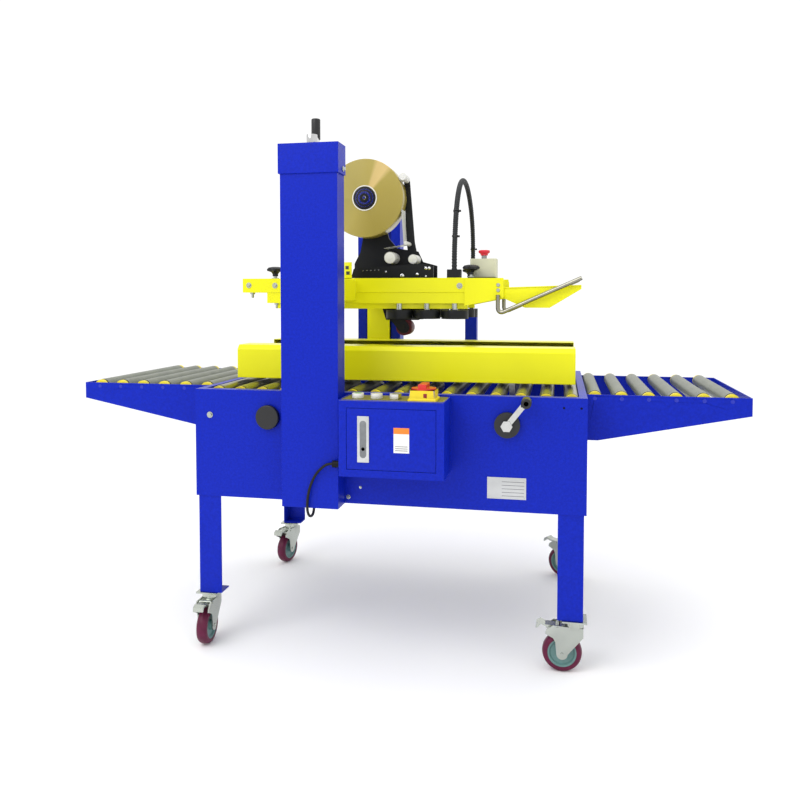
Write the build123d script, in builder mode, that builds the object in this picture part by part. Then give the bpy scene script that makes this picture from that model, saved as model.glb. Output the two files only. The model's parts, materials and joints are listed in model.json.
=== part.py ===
from build123d import *
import os
from math import atan2, cos, degrees, pi, radians, sin, tan

os.makedirs("parts", exist_ok=True)

# Driving dimensions, in millimetres.
# X runs along the carton's way, Y across it (the operator stands at -Y), Z up from the floor.

# Bed
bed_length = 1044.0
bed_width = 720.0
bed_bottom = 408.0
bed_top = 701.0
sheet = 3.0
side_flange = 25.0
end_flange = 20.0
fit_gap = 0.3
running_gap = 0.05

# Rollers
roller_radius = 19.0
roller_top = 707.0
cap_radius = 18.0
cap_length = 12.0
ring_length = 3.0
stub_radius = 5.0
bed_roller_count = 16
bed_roller_margin = 52.0
bed_roller_end_gap = 29.0

# Roller tables
table_length = 406.0
table_width = 500.0
table_top = 698.0
table_end_height = 46.0
table_root_height = 120.0
table_root_flat = 30.0
table_roller_first = 22.0
table_roller_pitch = 67.4
table_roller_count = 6

# Legs and casters
leg_width = 64.0
leg_depth = 48.0
leg_wall = 4.0
leg_inset = 6.0
leg_top = 560.0
caster_plate = 4.0
swivel_head = 20.0
wheel_radius = 50.0
wheel_clearance = 13.5
wheel_width = 32.0
caster_outset = 11.0
tyre_thickness = 14.0
trail = 30.0
axle_radius = 4.0
fork_wall = 3.5
fork_inside = 36.0

# Columns
column_x = -175.0
column_width = 152.0
column_depth = 64.0
column_wall = 4.0
column_slot = 88.0
column_top = 1271.0
cap_overhang = 4.0
column_cap_height = 70.0
column_cap_skirt = 6.0
cap_wall = 3.0

# Lift screws and the crank on top
screw_radius = 10.0
lift_screw_bottom = 430.0
crank_arm = 75.0
crank_arm_angle = 100.0
grip_radius = 12.0
grip_length = 55.0

# Control box
box_column_gap = 15.0
box_width = 265.0
box_depth = 113.0
box_bottom = 506.0
box_top = 698.0
box_wall = 2.5
door_width = 224.0
door_height = 152.0
door_bottom = 525.0
latch_inset = 28.0
latch_width = 30.0
latch_height = 115.0
latch_stand = 3.0
button_radius = 11.0
bezel_radius = 15.0
bezel_height = 13.0
button_offsets = (38.0, 86.5, 135.5)
switch_offset = 207.0
switch_base = 62.0
switch_height = 26.0

# Belt units
belt_gap = 97.0
unit_inside = 100.0
unit_outside = 195.0
unit_left = -470.0
unit_right = 495.0
unit_bottom = 716.0
unit_top = 812.0
guard_bend = 12.0
belt_thickness = 4.0
belt_height = 60.0
pulley_radius = 30.0
width_screw_z = 630.0
width_screw_gaps = (2.5, 12.5)

# Head
beam_face = 110.0
beam_depth = 30.0
beam_left = -488.0
beam_right = 193.0
beam_bottom = 964.0
beam_top = 1006.0
rail_left = -411.0
rail_bottom = 932.5
strip_bottom = 916.5
carriage_width = 80.0
carriage_bottom = 760.0
carriage_inset = 10.0
carriage_plate = 5.0
nut_size = 60.0
nut_bottom = 780.0
press_wheel_radius = 39.0
press_wheel_height = 25.0
press_wheel_top = 913.0
press_wheel_first = -7.0
press_wheel_pitch = 81.2
press_wheel_inset = 18.0

# Tape head
tape_width = 60.0
roll_x = -128.0
roll_z = 1249.0
roll_radius = 118.0
core_radius = 38.0
spindle_radius = 12.0
plate_inside = 34.0
plate_thickness = 6.0
arm_pivot = (-45.0, 905.0)
arm_roller = (-8.0, 859.0)
arm_roller_radius = 24.0

# Conduit and the cable of the control box
conduit_diameter = 16.0
cable_diameter = 7.0
post_x = 151.0
post_size = 40.0
post_top = 880.0
gland_height = 30.0
beam_gland_height = 24.0

# The origin is on the floor under the middle of the overall box.
front_reach = bed_width / 2 + box_depth + latch_stand
rear_reach = bed_width / 2 + column_depth + cap_overhang
centre_y = (front_reach - rear_reach) / 2
front_y = centre_y - bed_width / 2
rear_y = centre_y + bed_width / 2
half_bed = bed_length / 2
roller_z = roller_top - roller_radius
leg_x = half_bed - leg_inset - leg_width / 2
leg_y = bed_width / 2 - sheet - fit_gap - leg_depth / 2
screw_y = bed_width / 2 + column_depth / 2
cap_top = column_top + column_cap_height
column_left = column_x - column_width / 2
column_right = column_x + column_width / 2
carriage_face = bed_width / 2 - carriage_inset
press_wheel_y = beam_face - press_wheel_inset
caster_height = 2 * wheel_radius + wheel_clearance + swivel_head + caster_plate
bed_roller_half = bed_width / 2 - bed_roller_end_gap
bed_roller_first = bed_roller_margin - half_bed
bed_roller_last = half_bed - end_flange - roller_radius + 1
bed_roller_pitch = (bed_roller_last - bed_roller_first) / (bed_roller_count - 1)
width_screw_xs = [bed_roller_first + gap * bed_roller_pitch for gap in width_screw_gaps]
box_left = column_right + box_column_gap
box_right = box_left + box_width
button_xs = [box_left + offset for offset in button_offsets]
switch_x = box_left + switch_offset


def save(builder, label):
    """Name a finished piece and write it."""
    builder.part.label = label
    export_step(builder.part, f"parts/{label}.step")


def block(x, y, z, mode=Mode.ADD):
    """A box from its three ranges, added to the piece in hand or cut from it."""
    with Locations(((x[0] + x[1]) / 2, (y[0] + y[1]) / 2, (z[0] + z[1]) / 2)):
        Box(abs(x[1] - x[0]), abs(y[1] - y[0]), abs(z[1] - z[0]), mode=mode)


def bar(start, end, radius, mode=Mode.ADD):
    """A round bar between two points, added to the piece in hand or cut from it."""
    run = Vector(*end) - Vector(*start)
    with Locations(Plane(origin=start, z_dir=run).location):
        Cylinder(radius, run.length, align=(Align.CENTER, Align.CENTER, Align.MIN), mode=mode)


def across(side, near, far):
    """A range in Y between two distances from the centre plane, on one side of it."""
    return tuple(sorted((centre_y + side * near, centre_y + side * far)))


# Bed: four folded walls open at the top and the bottom, with flanges turned inwards.
with BuildPart() as bed_frame:
    with BuildSketch(Plane.XY.offset(bed_bottom)) as bed_walls:
        with Locations((0, centre_y)):
            Rectangle(bed_length, bed_width)
            Rectangle(bed_length - 2 * sheet, bed_width - 2 * sheet, mode=Mode.SUBTRACT)
    extrude(amount=bed_top - bed_bottom)
    between_legs = half_bed - leg_inset - leg_width - 2 * sheet
    for side in (-1, 1):
        wall_inside = bed_width / 2 - sheet
        flange_y = across(side, wall_inside - side_flange, wall_inside + sheet / 2)
        block((-half_bed, half_bed), flange_y, (bed_top - sheet, bed_top))
        block((-between_legs, between_legs), flange_y, (bed_bottom, bed_bottom + sheet))
    for end in (-1, 1):
        block(
            (end * (half_bed - end_flange), end * half_bed),
            (front_y, rear_y),
            (bed_top - sheet, bed_top),
        )
    # Cross bars and two inner rails carry the split rollers over the lower tape head.
    rail_ends = [bed_roller_first + gap * bed_roller_pitch for gap in (4.5, 9.5)]
    inner_rail = 46.0
    inner_rail_top = 690.0
    cross_bar_top = 640.0
    cross_bar_height = 45.0
    for x in rail_ends:
        block(
            (x, x + sheet),
            (front_y + sheet / 2, rear_y - sheet / 2),
            (cross_bar_top - cross_bar_height, cross_bar_top),
        )
    for side in (-1, 1):
        block(
            (rail_ends[0], rail_ends[1] + sheet),
            across(side, inner_rail, inner_rail + sheet),
            (cross_bar_top - cross_bar_height, inner_rail_top),
        )
    # Bearing holes of the two width screws, through both side panels.
    for x in width_screw_xs:
        bar(
            (x, front_y - 1, width_screw_z),
            (x, rear_y + 1, width_screw_z),
            screw_radius + running_gap,
            mode=Mode.SUBTRACT,
        )
save(bed_frame, "bed_frame")

# Legs: folded angles with a bottom plate, bolted inside the bed's corners.
with BuildPart() as leg_posts:
    for end in (-1, 1):
        for side in (-1, 1):
            x = end * leg_x
            y = centre_y + side * leg_y
            outer = leg_depth / 2
            block((x - leg_width / 2, x + leg_width / 2), (y - outer, y + outer), (caster_height, leg_top))
            open_x = sorted((x + end * (leg_width / 2 - leg_wall), x - end * (leg_width / 2 + 1)))
            open_y = sorted((y + side * (outer - leg_wall), y - side * (outer + 1)))
            block(
                open_x,
                open_y,
                (caster_height + leg_wall, leg_top + 1),
                mode=Mode.SUBTRACT,
            )
save(leg_posts, "leg_posts")


def table_frame(end, label):
    """Two tapered side rails with an end plate and a root plate, holed for the roller stubs."""
    root = end * half_bed
    tip = end * (half_bed + table_length)
    with BuildPart() as frame:
        for side in (-1, 1):
            outer_y = centre_y + side * table_width / 2
            with BuildSketch(Plane.XZ.offset(-outer_y)):
                with BuildLine():
                    Polyline(
                        (root, table_top),
                        (tip, table_top),
                        (tip, table_top - table_end_height),
                        (root + end * table_root_flat, table_top - table_root_height),
                        (root, table_top - table_root_height),
                        close=True,
                    )
                make_face()
            extrude(amount=side * sheet)
        half_table = table_width / 2
        block(
            (tip - end * sheet, tip),
            across(1, -half_table, half_table),
            (table_top - table_end_height, table_top),
        )
        block(
            (root, root + end * sheet),
            across(1, -half_table, half_table),
            (table_top - table_root_height, table_top - 2 * roller_radius),
        )
        for index in range(table_roller_count):
            x = root + end * (table_roller_first + index * table_roller_pitch)
            bar(
                (x, centre_y - half_table - 1, roller_z),
                (x, centre_y + half_table + 1, roller_z),
                stub_radius + running_gap,
                mode=Mode.SUBTRACT,
            )
    save(frame, label)


table_frame(-1, "outfeed_table_frame")
table_frame(1, "infeed_table_frame")


def roller_profile(half, stub):
    """Half section of a roller: stub, end cap, dark ring and sleeve, mirrored about its middle."""
    inner = half - cap_length
    return [
        (0, -half - stub),
        (stub_radius, -half - stub),
        (stub_radius, -half),
        (cap_radius, -half),
        (cap_radius, -inner),
        (cap_radius - 2, -inner),
        (cap_radius - 2, -inner + ring_length),
        (roller_radius, -inner + ring_length),
        (roller_radius, inner - ring_length),
        (cap_radius - 2, inner - ring_length),
        (cap_radius - 2, inner),
        (cap_radius, inner),
        (cap_radius, half),
        (stub_radius, half),
        (stub_radius, half + stub),
        (0, half + stub),
    ]


def table_roller(x, label):
    """One free roller that spins on its stubs in the table's side rails."""
    half = table_width / 2 - sheet - 1
    with BuildPart() as roller:
        with BuildSketch(Plane(origin=(x, centre_y, roller_z), x_dir=(1, 0, 0), z_dir=(0, 0, 1))):
            with BuildLine():
                Polyline(*roller_profile(half, 1 + sheet), close=True)
            make_face()
        revolve(axis=Axis((x, centre_y, roller_z), (0, 1, 0)))
    save(roller, label)


for index in range(table_roller_count):
    reach = half_bed + table_roller_first + index * table_roller_pitch
    table_roller(-reach, f"outfeed_roller_{index + 1}")
    table_roller(reach, f"infeed_roller_{index + 1}")

# Bed rollers: whole ones at both ends, and split ones over the lower tape head.
with BuildPart() as bed_rollers:
    for index in range(bed_roller_count):
        x = bed_roller_first + index * bed_roller_pitch
        split = rail_ends[0] < x < rail_ends[1]
        inner = inner_rail + sheet
        half = (bed_roller_half - inner - 2) / 2 if split else bed_roller_half
        stub = bed_width / 2 - sheet - bed_roller_half
        middles = (-inner - 2 - half, inner + 2 + half) if split else (0,)
        for middle in middles:
            y = centre_y + middle
            with BuildSketch(Plane(origin=(x, y, roller_z), x_dir=(1, 0, 0), z_dir=(0, 0, 1))):
                with BuildLine():
                    Polyline(*roller_profile(half, 2.0), close=True)
                make_face()
            revolve(axis=Axis((x, y, roller_z), (0, 1, 0)))
        for side in (-1, 1):
            bar(
                (x, centre_y + side * bed_roller_half, roller_z),
                (x, centre_y + side * (bed_roller_half + stub), roller_z),
                stub_radius,
            )
save(bed_rollers, "bed_rollers")


def column(side, label):
    """A box-section post outside the bed, slotted on its inner face for the carriage."""
    inner = bed_width / 2
    outer = inner + column_depth
    with BuildPart() as post:
        block((column_left, column_right), across(side, inner, outer), (bed_bottom, column_top))
        block(
            (column_left + column_wall, column_right - column_wall),
            across(side, inner + column_wall, outer - column_wall),
            (bed_bottom + column_wall, column_top - column_wall),
            mode=Mode.SUBTRACT,
        )
        block(
            (column_x - column_slot / 2, column_x + column_slot / 2),
            across(side, inner - 1, inner + column_wall + 1),
            (bed_top, column_top - column_wall),
            mode=Mode.SUBTRACT,
        )
        # Lower bearing shelf of the lift screw, and its holes here and in the top.
        block(
            (column_left + column_wall, column_right - column_wall),
            across(side, inner + column_wall, outer - column_wall),
            (lift_screw_bottom + 10, lift_screw_bottom + 16),
        )
        screw_centre = centre_y + side * screw_y
        bar(
            (column_x, screw_centre, lift_screw_bottom),
            (column_x, screw_centre, column_top + 1),
            screw_radius + running_gap,
            mode=Mode.SUBTRACT,
        )
    save(post, label)


column(-1, "front_column")
column(1, "rear_column")

# Column caps: folded covers that sit on the columns, with a short skirt on three sides.
with BuildPart() as column_caps:
    half_cap = column_width / 2 + cap_overhang
    half_cavity = column_width / 2 + fit_gap
    inner = bed_width / 2
    outer = inner + column_depth
    for side in (-1, 1):
        block(
            (column_x - half_cap, column_x + half_cap),
            across(side, inner, outer + cap_overhang),
            (column_top - column_cap_skirt, cap_top),
        )
        block(
            (column_x - half_cavity, column_x + half_cavity),
            across(side, inner + cap_wall, outer + fit_gap),
            (column_top + fit_gap, cap_top - cap_wall),
            mode=Mode.SUBTRACT,
        )
        block(
            (column_x - half_cavity, column_x + half_cavity),
            across(side, inner - 1, outer + fit_gap),
            (column_top - column_cap_skirt - 1, column_top),
            mode=Mode.SUBTRACT,
        )
        block(
            (column_x - half_cavity + cap_wall, column_x + half_cavity - cap_wall),
            across(side, inner + cap_wall, outer - cap_wall),
            (column_top - 1, column_top + fit_gap + 1),
            mode=Mode.SUBTRACT,
        )
    bar(
        (column_x, centre_y - screw_y, cap_top - cap_wall - 1),
        (column_x, centre_y - screw_y, cap_top + 1),
        screw_radius + 1,
        mode=Mode.SUBTRACT,
    )
save(column_caps, "column_caps")

# Lift screws: the front one reaches up through its cap to the crank.
hub_height = 22.0
crank_hub_bottom = cap_top + 4
crank_hub_radius = 14.0
with BuildPart() as front_lift_screw:
    bar(
        (column_x, centre_y - screw_y, lift_screw_bottom + 6),
        (column_x, centre_y - screw_y, crank_hub_bottom),
        screw_radius,
    )
save(front_lift_screw, "front_lift_screw")

with BuildPart() as rear_lift_screw:
    bar(
        (column_x, centre_y + screw_y, lift_screw_bottom + 6),
        (column_x, centre_y + screw_y, column_top + 20),
        screw_radius,
    )
save(rear_lift_screw, "rear_lift_screw")

with BuildPart() as lift_crank:
    hub_y = centre_y - screw_y
    bar(
        (column_x, hub_y, crank_hub_bottom),
        (column_x, hub_y, crank_hub_bottom + hub_height),
        crank_hub_radius,
    )
    arm_x = column_x + crank_arm * cos(radians(crank_arm_angle))
    arm_y = hub_y + crank_arm * sin(radians(crank_arm_angle))
    arm_z = crank_hub_bottom + hub_height - 6
    arm_plane = Plane(
        origin=((column_x + arm_x) / 2, (hub_y + arm_y) / 2, arm_z),
        x_dir=(arm_x - column_x, arm_y - hub_y, 0),
        z_dir=(0, 0, 1),
    )
    with BuildSketch(arm_plane):
        SlotCenterToCenter(crank_arm, 20)
    extrude(amount=6)
    bar((arm_x, arm_y, arm_z + 4), (arm_x, arm_y, arm_z + 10), 5)
    bar((arm_x, arm_y, arm_z + 8), (arm_x, arm_y, arm_z + 8 + grip_length), grip_radius)
    fillet(lift_crank.edges().group_by(Axis.Z)[-1], 3)
save(lift_crank, "lift_crank")

# Control box: a folded cabinet on the front panel, open behind its door.
box_front = front_y - box_depth
door_left = (box_left + box_right - door_width) / 2
door_right = door_left + door_width
console_recess = 1.5
with BuildPart() as control_box:
    block((box_left, box_right), (box_front, front_y), (box_bottom, box_top))
    block(
        (box_left + box_wall, box_right - box_wall),
        (box_front + box_wall, front_y - box_wall),
        (box_bottom + box_wall, box_top - box_wall - console_recess),
        mode=Mode.SUBTRACT,
    )
    block(
        (box_left + box_wall, box_right - box_wall),
        (box_front + box_wall, front_y - box_wall),
        (box_top - console_recess, box_top + 1),
        mode=Mode.SUBTRACT,
    )
    block(
        (door_left - 1, door_right + 1),
        (box_front - 1, box_front + box_wall + 1),
        (door_bottom - 1, door_bottom + door_height + 1),
        mode=Mode.SUBTRACT,
    )
    console_top = box_top - console_recess
    button_y = box_front + box_depth * 0.42
    for x in button_xs:
        bar((x, button_y, box_top - 10), (x, button_y, box_top + 1), button_radius + running_gap, Mode.SUBTRACT)
    with Locations((switch_x, button_y, console_top)):
        Box(switch_base, switch_base, switch_height, align=(Align.CENTER, Align.CENTER, Align.MIN))
    bar((switch_x, button_y, box_top - 10), (switch_x, button_y, box_top + 60), 6 + running_gap, Mode.SUBTRACT)
    # Strain relief of the cable on the box's left side.
    gland_y = front_y - 76
    gland_z = 528.0
    bar((box_left + 1, gland_y, gland_z), (box_left - 26, gland_y, gland_z), 9)
save(control_box, "control_box")

with BuildPart() as control_door:
    block((door_left, door_right), (box_front, box_front + box_wall), (door_bottom, door_bottom + door_height))
    latch_x = door_left + latch_inset + latch_width / 2
    latch_z = door_bottom + door_height / 2
    block(
        (latch_x - latch_width / 2, latch_x + latch_width / 2),
        (box_front - latch_stand, box_front),
        (latch_z - latch_height / 2, latch_z + latch_height / 2),
    )
save(control_door, "control_door")


def push_button(x, label):
    """A round cap on its plunger, guided by the hole in the console."""
    with BuildPart() as button:
        bar((x, button_y, console_top - 20), (x, button_y, console_top + bezel_height), button_radius)
        fillet(button.edges().group_by(Axis.Z)[-1], 1.5)
    save(button, label)


for index, x in enumerate(button_xs):
    push_button(x, f"push_button_{index + 1}")

with BuildPart() as switch_knob:
    base_top = console_top + switch_height
    disc_radius = 31.0
    handle_width = 20.0
    bar((switch_x, button_y, console_top - 15), (switch_x, button_y, base_top + 2), 6)
    bar((switch_x, button_y, base_top + fit_gap), (switch_x, button_y, base_top + 4), disc_radius)
    block(
        (switch_x - handle_width / 2, switch_x + handle_width / 2),
        (button_y - disc_radius + 3, button_y + disc_radius - 3),
        (base_top + 3, base_top + 15),
    )
    fillet(switch_knob.edges().group_by(Axis.Z)[-1], 2)
save(switch_knob, "switch_knob")

# Casters: the swivel body, the wheel and the brake pedal of each.
pedal_hinge = 42.5
pedal_pin = 3.0
axle_drop = caster_height - wheel_radius


def caster(end, side, heading, label):
    """One swivel brake caster; the heading is the way its wheel trails, in degrees."""
    pivot_x = end * (leg_x + caster_outset)
    pivot_y = centre_y + side * leg_y
    way = Vector(cos(radians(heading)), sin(radians(heading)), 0)
    square = Vector(-sin(radians(heading)), cos(radians(heading)), 0)
    top = Vector(pivot_x, pivot_y, caster_height - caster_plate)
    axle = Vector(pivot_x, pivot_y, wheel_radius) + way * trail
    with BuildPart() as fork:
        bar(tuple(top - Vector(0, 0, fit_gap)), tuple(top - Vector(0, 0, swivel_head)), 24)
        crown = Plane(origin=top - Vector(0, 0, swivel_head), x_dir=way, z_dir=(0, 0, 1))
        with BuildSketch(crown):
            with Locations((7, 0)):
                Rectangle(58, fork_inside + 2 * fork_wall)
        extrude(amount=5)
        drop = axle_drop - swivel_head - caster_plate
        cheek_end = 14
        for hand in (-1, 1):
            cheek_origin = crown.origin + square * (hand * (fork_inside / 2 + fork_wall))
            with BuildSketch(Plane(origin=cheek_origin, x_dir=way, z_dir=square * -1)):
                with BuildLine():
                    Polyline(
                        (-22, 5),
                        (52, 9),
                        (70, -4),
                        (72, -14),
                        (52, -24),
                        (trail + 17, -34),
                        (trail + cheek_end, -drop),
                        (trail - cheek_end, -drop),
                        (-22, -18),
                        close=True,
                    )
                make_face()
                with Locations((trail, -drop)):
                    Circle(cheek_end)
            extrude(amount=hand * fork_wall)
        reach = square * (fork_inside / 2 + fork_wall + 2)
        bar(tuple(axle - reach), tuple(axle + reach), axle_radius)
        hinge = crown.origin + way * pedal_hinge + Vector(0, 0, 3)
        bar(tuple(hinge - reach), tuple(hinge + reach), pedal_pin)
    save(fork, f"{label}_fork")
    with BuildPart() as wheel:
        half = wheel_width / 2
        hub_half = fork_inside / 2 - 0.5
        rim = wheel_radius - tyre_thickness
        with BuildSketch(Plane(origin=axle, x_dir=(0, 0, 1), z_dir=way)):
            with BuildLine():
                Polyline(
                    (axle_radius + running_gap, -hub_half),
                    (13, -hub_half),
                    (15, -half + 7),
                    (rim - 4, -half + 7),
                    (rim, -half + 2),
                    (wheel_radius - 4, -half + 2),
                    (wheel_radius, -half + 7),
                    (wheel_radius, half - 7),
                    (wheel_radius - 4, half - 2),
                    (rim, half - 2),
                    (rim - 4, half - 7),
                    (15, half - 7),
                    (13, hub_half),
                    (axle_radius + running_gap, hub_half),
                    close=True,
                )
            make_face()
        revolve(axis=Axis(axle, square))
    save(wheel, f"{label}_wheel")
    with BuildPart() as pedal:
        bar(tuple(hinge - square * 16), tuple(hinge + square * 16), 5)
        with BuildSketch(Plane(origin=hinge + square * 14, x_dir=way, z_dir=square * -1)):
            with BuildLine():
                Polyline((0, -3), (0, 3), (30, 4), (42, 10), (52, 4), (54, -6), (50, -6), (41, 4), (30, 0), close=True)
            make_face()
        extrude(amount=28)
        bar(tuple(hinge - reach), tuple(hinge + reach), pedal_pin + running_gap, mode=Mode.SUBTRACT)
    save(pedal, f"{label}_pedal")


caster(-1, -1, -86.0, "front_left")
caster(1, -1, 180.0, "front_right")
caster(-1, 1, -102.0, "rear_left")
caster(1, 1, 150.0, "rear_right")


def belt_guard(side, label):
    """A folded cover over one belt unit, open below and towards the carton."""
    face = centre_y + side * unit_outside
    inside = centre_y + side * unit_inside
    wall = 2.0
    with BuildPart() as guard:
        with BuildSketch(Plane.YZ.offset(unit_left)):
            with BuildLine():
                Polyline(
                    (face, unit_bottom),
                    (face, unit_top - guard_bend),
                    (face - side * guard_bend, unit_top),
                    (inside, unit_top),
                    (inside, unit_bottom),
                    close=True,
                )
            make_face()
        extrude(amount=unit_right - unit_left)
        block(
            (unit_left + wall, unit_right - wall),
            across(side, unit_inside - 1, unit_outside - wall),
            (unit_bottom - 1, unit_top - guard_bend - 1),
            mode=Mode.SUBTRACT,
        )
        block(
            (unit_left + wall, unit_right - wall),
            across(side, unit_inside - 1, unit_outside - guard_bend - wall),
            (unit_bottom - 1, unit_top - wall),
            mode=Mode.SUBTRACT,
        )
    save(guard, label)


belt_guard(-1, "front_guard")
belt_guard(1, "rear_guard")


def belt_drive(side, label):
    """Base plate with its nut posts, two pulleys, the drive motor and the belt round them."""
    belt_y = centre_y + side * (belt_gap + belt_thickness + pulley_radius)
    belt_low = unit_bottom + 14
    pulley_xs = (unit_left + pulley_radius + 12, unit_right - pulley_radius - 12)
    base_thickness = 4.0
    with BuildPart() as drive:
        block(
            (unit_left + 4, unit_right - 4),
            across(side, unit_inside + 1, unit_outside - 4),
            (unit_bottom, unit_bottom + base_thickness),
        )
        for x in width_screw_xs:
            nut_y = (unit_inside + unit_outside) / 2
            block((x - 8, x + 8), across(side, nut_y - 18, nut_y + 18), (width_screw_z, unit_bottom + 1))
            block(
                (x - 18, x + 18),
                across(side, nut_y - 20, nut_y + 20),
                (width_screw_z - 20, width_screw_z + 20),
            )
            bar(
                (x, centre_y + side * (nut_y - 30), width_screw_z),
                (x, centre_y + side * (nut_y + 30), width_screw_z),
                screw_radius + running_gap,
                mode=Mode.SUBTRACT,
            )
        for x in pulley_xs:
            bar((x, belt_y, unit_bottom + 2), (x, belt_y, belt_low + belt_height + 6), 8)
            bar((x, belt_y, belt_low), (x, belt_y, belt_low + belt_height), pulley_radius - 0.1)
        motor_y = across(side, belt_gap + belt_thickness + 6, belt_gap + belt_thickness + 54)
        block((-70, 90), motor_y, (unit_bottom + base_thickness - 1, unit_top - 14))
        middle = sum(pulley_xs) / 2
        span = pulley_xs[1] - pulley_xs[0]
        with BuildSketch(Plane.XY.offset(belt_low)):
            with Locations((middle, belt_y)):
                SlotCenterToCenter(span, 2 * (pulley_radius + belt_thickness))
                SlotCenterToCenter(span, 2 * pulley_radius, mode=Mode.SUBTRACT)
        extrude(amount=belt_height)
    save(drive, label)


belt_drive(-1, "front_belt_drive")
belt_drive(1, "rear_belt_drive")

# Width screws: left-hand and right-hand threads that move both belt units together.
boss_radius = 32.5
boss_front = 14.0
width_arm = 80.0
width_arm_angle = 52.0
knob_length = 42.0
with BuildPart() as width_crank:
    x = width_screw_xs[1]
    bar((x, front_y - boss_front, width_screw_z), (x, rear_y, width_screw_z), screw_radius)
    bar((x, front_y - boss_front, width_screw_z), (x, front_y - 2, width_screw_z), boss_radius)
    with BuildSketch(Plane.XZ.offset(boss_front - front_y)):
        with Locations((x, width_screw_z)):
            RegularPolygon(15, 6)
    extrude(amount=18)
    arm_end = (x + width_arm * cos(radians(width_arm_angle)), width_screw_z + width_arm * sin(radians(width_arm_angle)))
    arm_middle = ((x + arm_end[0]) / 2, (width_screw_z + arm_end[1]) / 2)
    with BuildSketch(Plane.XZ.offset(boss_front + 8 - front_y)):
        with Locations(Location((*arm_middle, 0), (0, 0, width_arm_angle))):
            SlotCenterToCenter(width_arm, 14)
    extrude(amount=6)
    knob_back = front_y - boss_front - 13
    bar((arm_end[0], knob_back, arm_end[1]), (arm_end[0], knob_back - knob_length, arm_end[1]), 13)
    fillet(width_crank.edges().group_by(Axis.Y)[0], 4)
save(width_crank, "width_crank")

with BuildPart() as second_width_screw:
    x = width_screw_xs[0]
    bar((x, front_y - boss_front, width_screw_z), (x, rear_y, width_screw_z), screw_radius)
    bar((x, front_y - boss_front, width_screw_z), (x, front_y - 2, width_screw_z), boss_radius)
    fillet(second_width_screw.edges().group_by(Axis.Y)[0], 3)
save(second_width_screw, "second_width_screw")

# Head frame: two stepped beams, end plates, arms to the columns, carriages and nut blocks.
arm_wall = 4.0
with BuildPart() as head_frame:
    for side in (-1, 1):
        inner = beam_face - beam_depth
        block((beam_left, beam_right), across(side, inner, beam_face), (beam_bottom, beam_top))
        block(
            (beam_left - 1, beam_right + 1),
            across(side, inner - 1, beam_face - sheet),
            (beam_bottom + sheet, beam_top - sheet),
            mode=Mode.SUBTRACT,
        )
        block((rail_left, beam_right), across(side, inner + 2, beam_face - 2), (rail_bottom, beam_bottom))
        block((rail_left + 30, beam_right), across(side, inner + 6, beam_face - 12), (strip_bottom, rail_bottom))
        # Arm to the carriage, carriage plate, neck and nut block.
        arm_x = (column_x - carriage_width / 2, column_x + carriage_width / 2)
        block(arm_x, across(side, beam_face - 1, carriage_face), (rail_bottom + 8, beam_top - 6))
        block(
            (arm_x[0] + arm_wall, arm_x[1] - arm_wall),
            across(side, beam_face + arm_wall, carriage_face - arm_wall),
            (rail_bottom + 7, beam_top - 6 - arm_wall),
            mode=Mode.SUBTRACT,
        )
        block(
            arm_x,
            across(side, carriage_face, carriage_face + carriage_plate),
            (carriage_bottom, beam_top - 6),
        )
        neck = (column_x - nut_size * 0.4, column_x + nut_size * 0.4)
        block(neck, across(side, carriage_face, screw_y), (nut_bottom, nut_bottom + nut_size))
        block(
            (column_x - nut_size / 2, column_x + nut_size / 2),
            across(side, screw_y - 22, screw_y + 22),
            (nut_bottom, nut_bottom + nut_size),
        )
        bar(
            (column_x, centre_y + side * screw_y, nut_bottom - 1),
            (column_x, centre_y + side * screw_y, nut_bottom + nut_size + 1),
            screw_radius + running_gap,
            mode=Mode.SUBTRACT,
        )
    for x in (beam_left, beam_right - sheet):
        block((x, x + sheet), across(1, -beam_face, beam_face), (beam_bottom, beam_top))
    # Gland block of the conduit, on top of the front beam.
    block((134, 174), across(-1, beam_face - beam_depth + 2, beam_face - 2), (beam_top, beam_top + beam_gland_height))
    # Slanted bracket plates at the infeed end.
    for side in (-1, 1):
        with BuildSketch(Plane.XZ.offset(-(centre_y + side * beam_face))):
            with BuildLine():
                Polyline(
                    (beam_right - 8, beam_top - 1),
                    (beam_right + 103, beam_top - 1),
                    (beam_right + 103, rail_bottom + 15),
                    (beam_right - 8, strip_bottom + 9),
                    close=True,
                )
            make_face()
        extrude(amount=-side * sheet)
save(head_frame, "head_frame")

with BuildPart() as press_wheels:
    for side in (-1, 1):
        for index in range(3):
            x = press_wheel_first + index * press_wheel_pitch
            y = centre_y + side * press_wheel_y
            bar((x, y, press_wheel_top - press_wheel_height), (x, y, press_wheel_top), press_wheel_radius)
            bar((x, y, press_wheel_top), (x, y, strip_bottom), 9)
save(press_wheels, "press_wheels")

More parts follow.
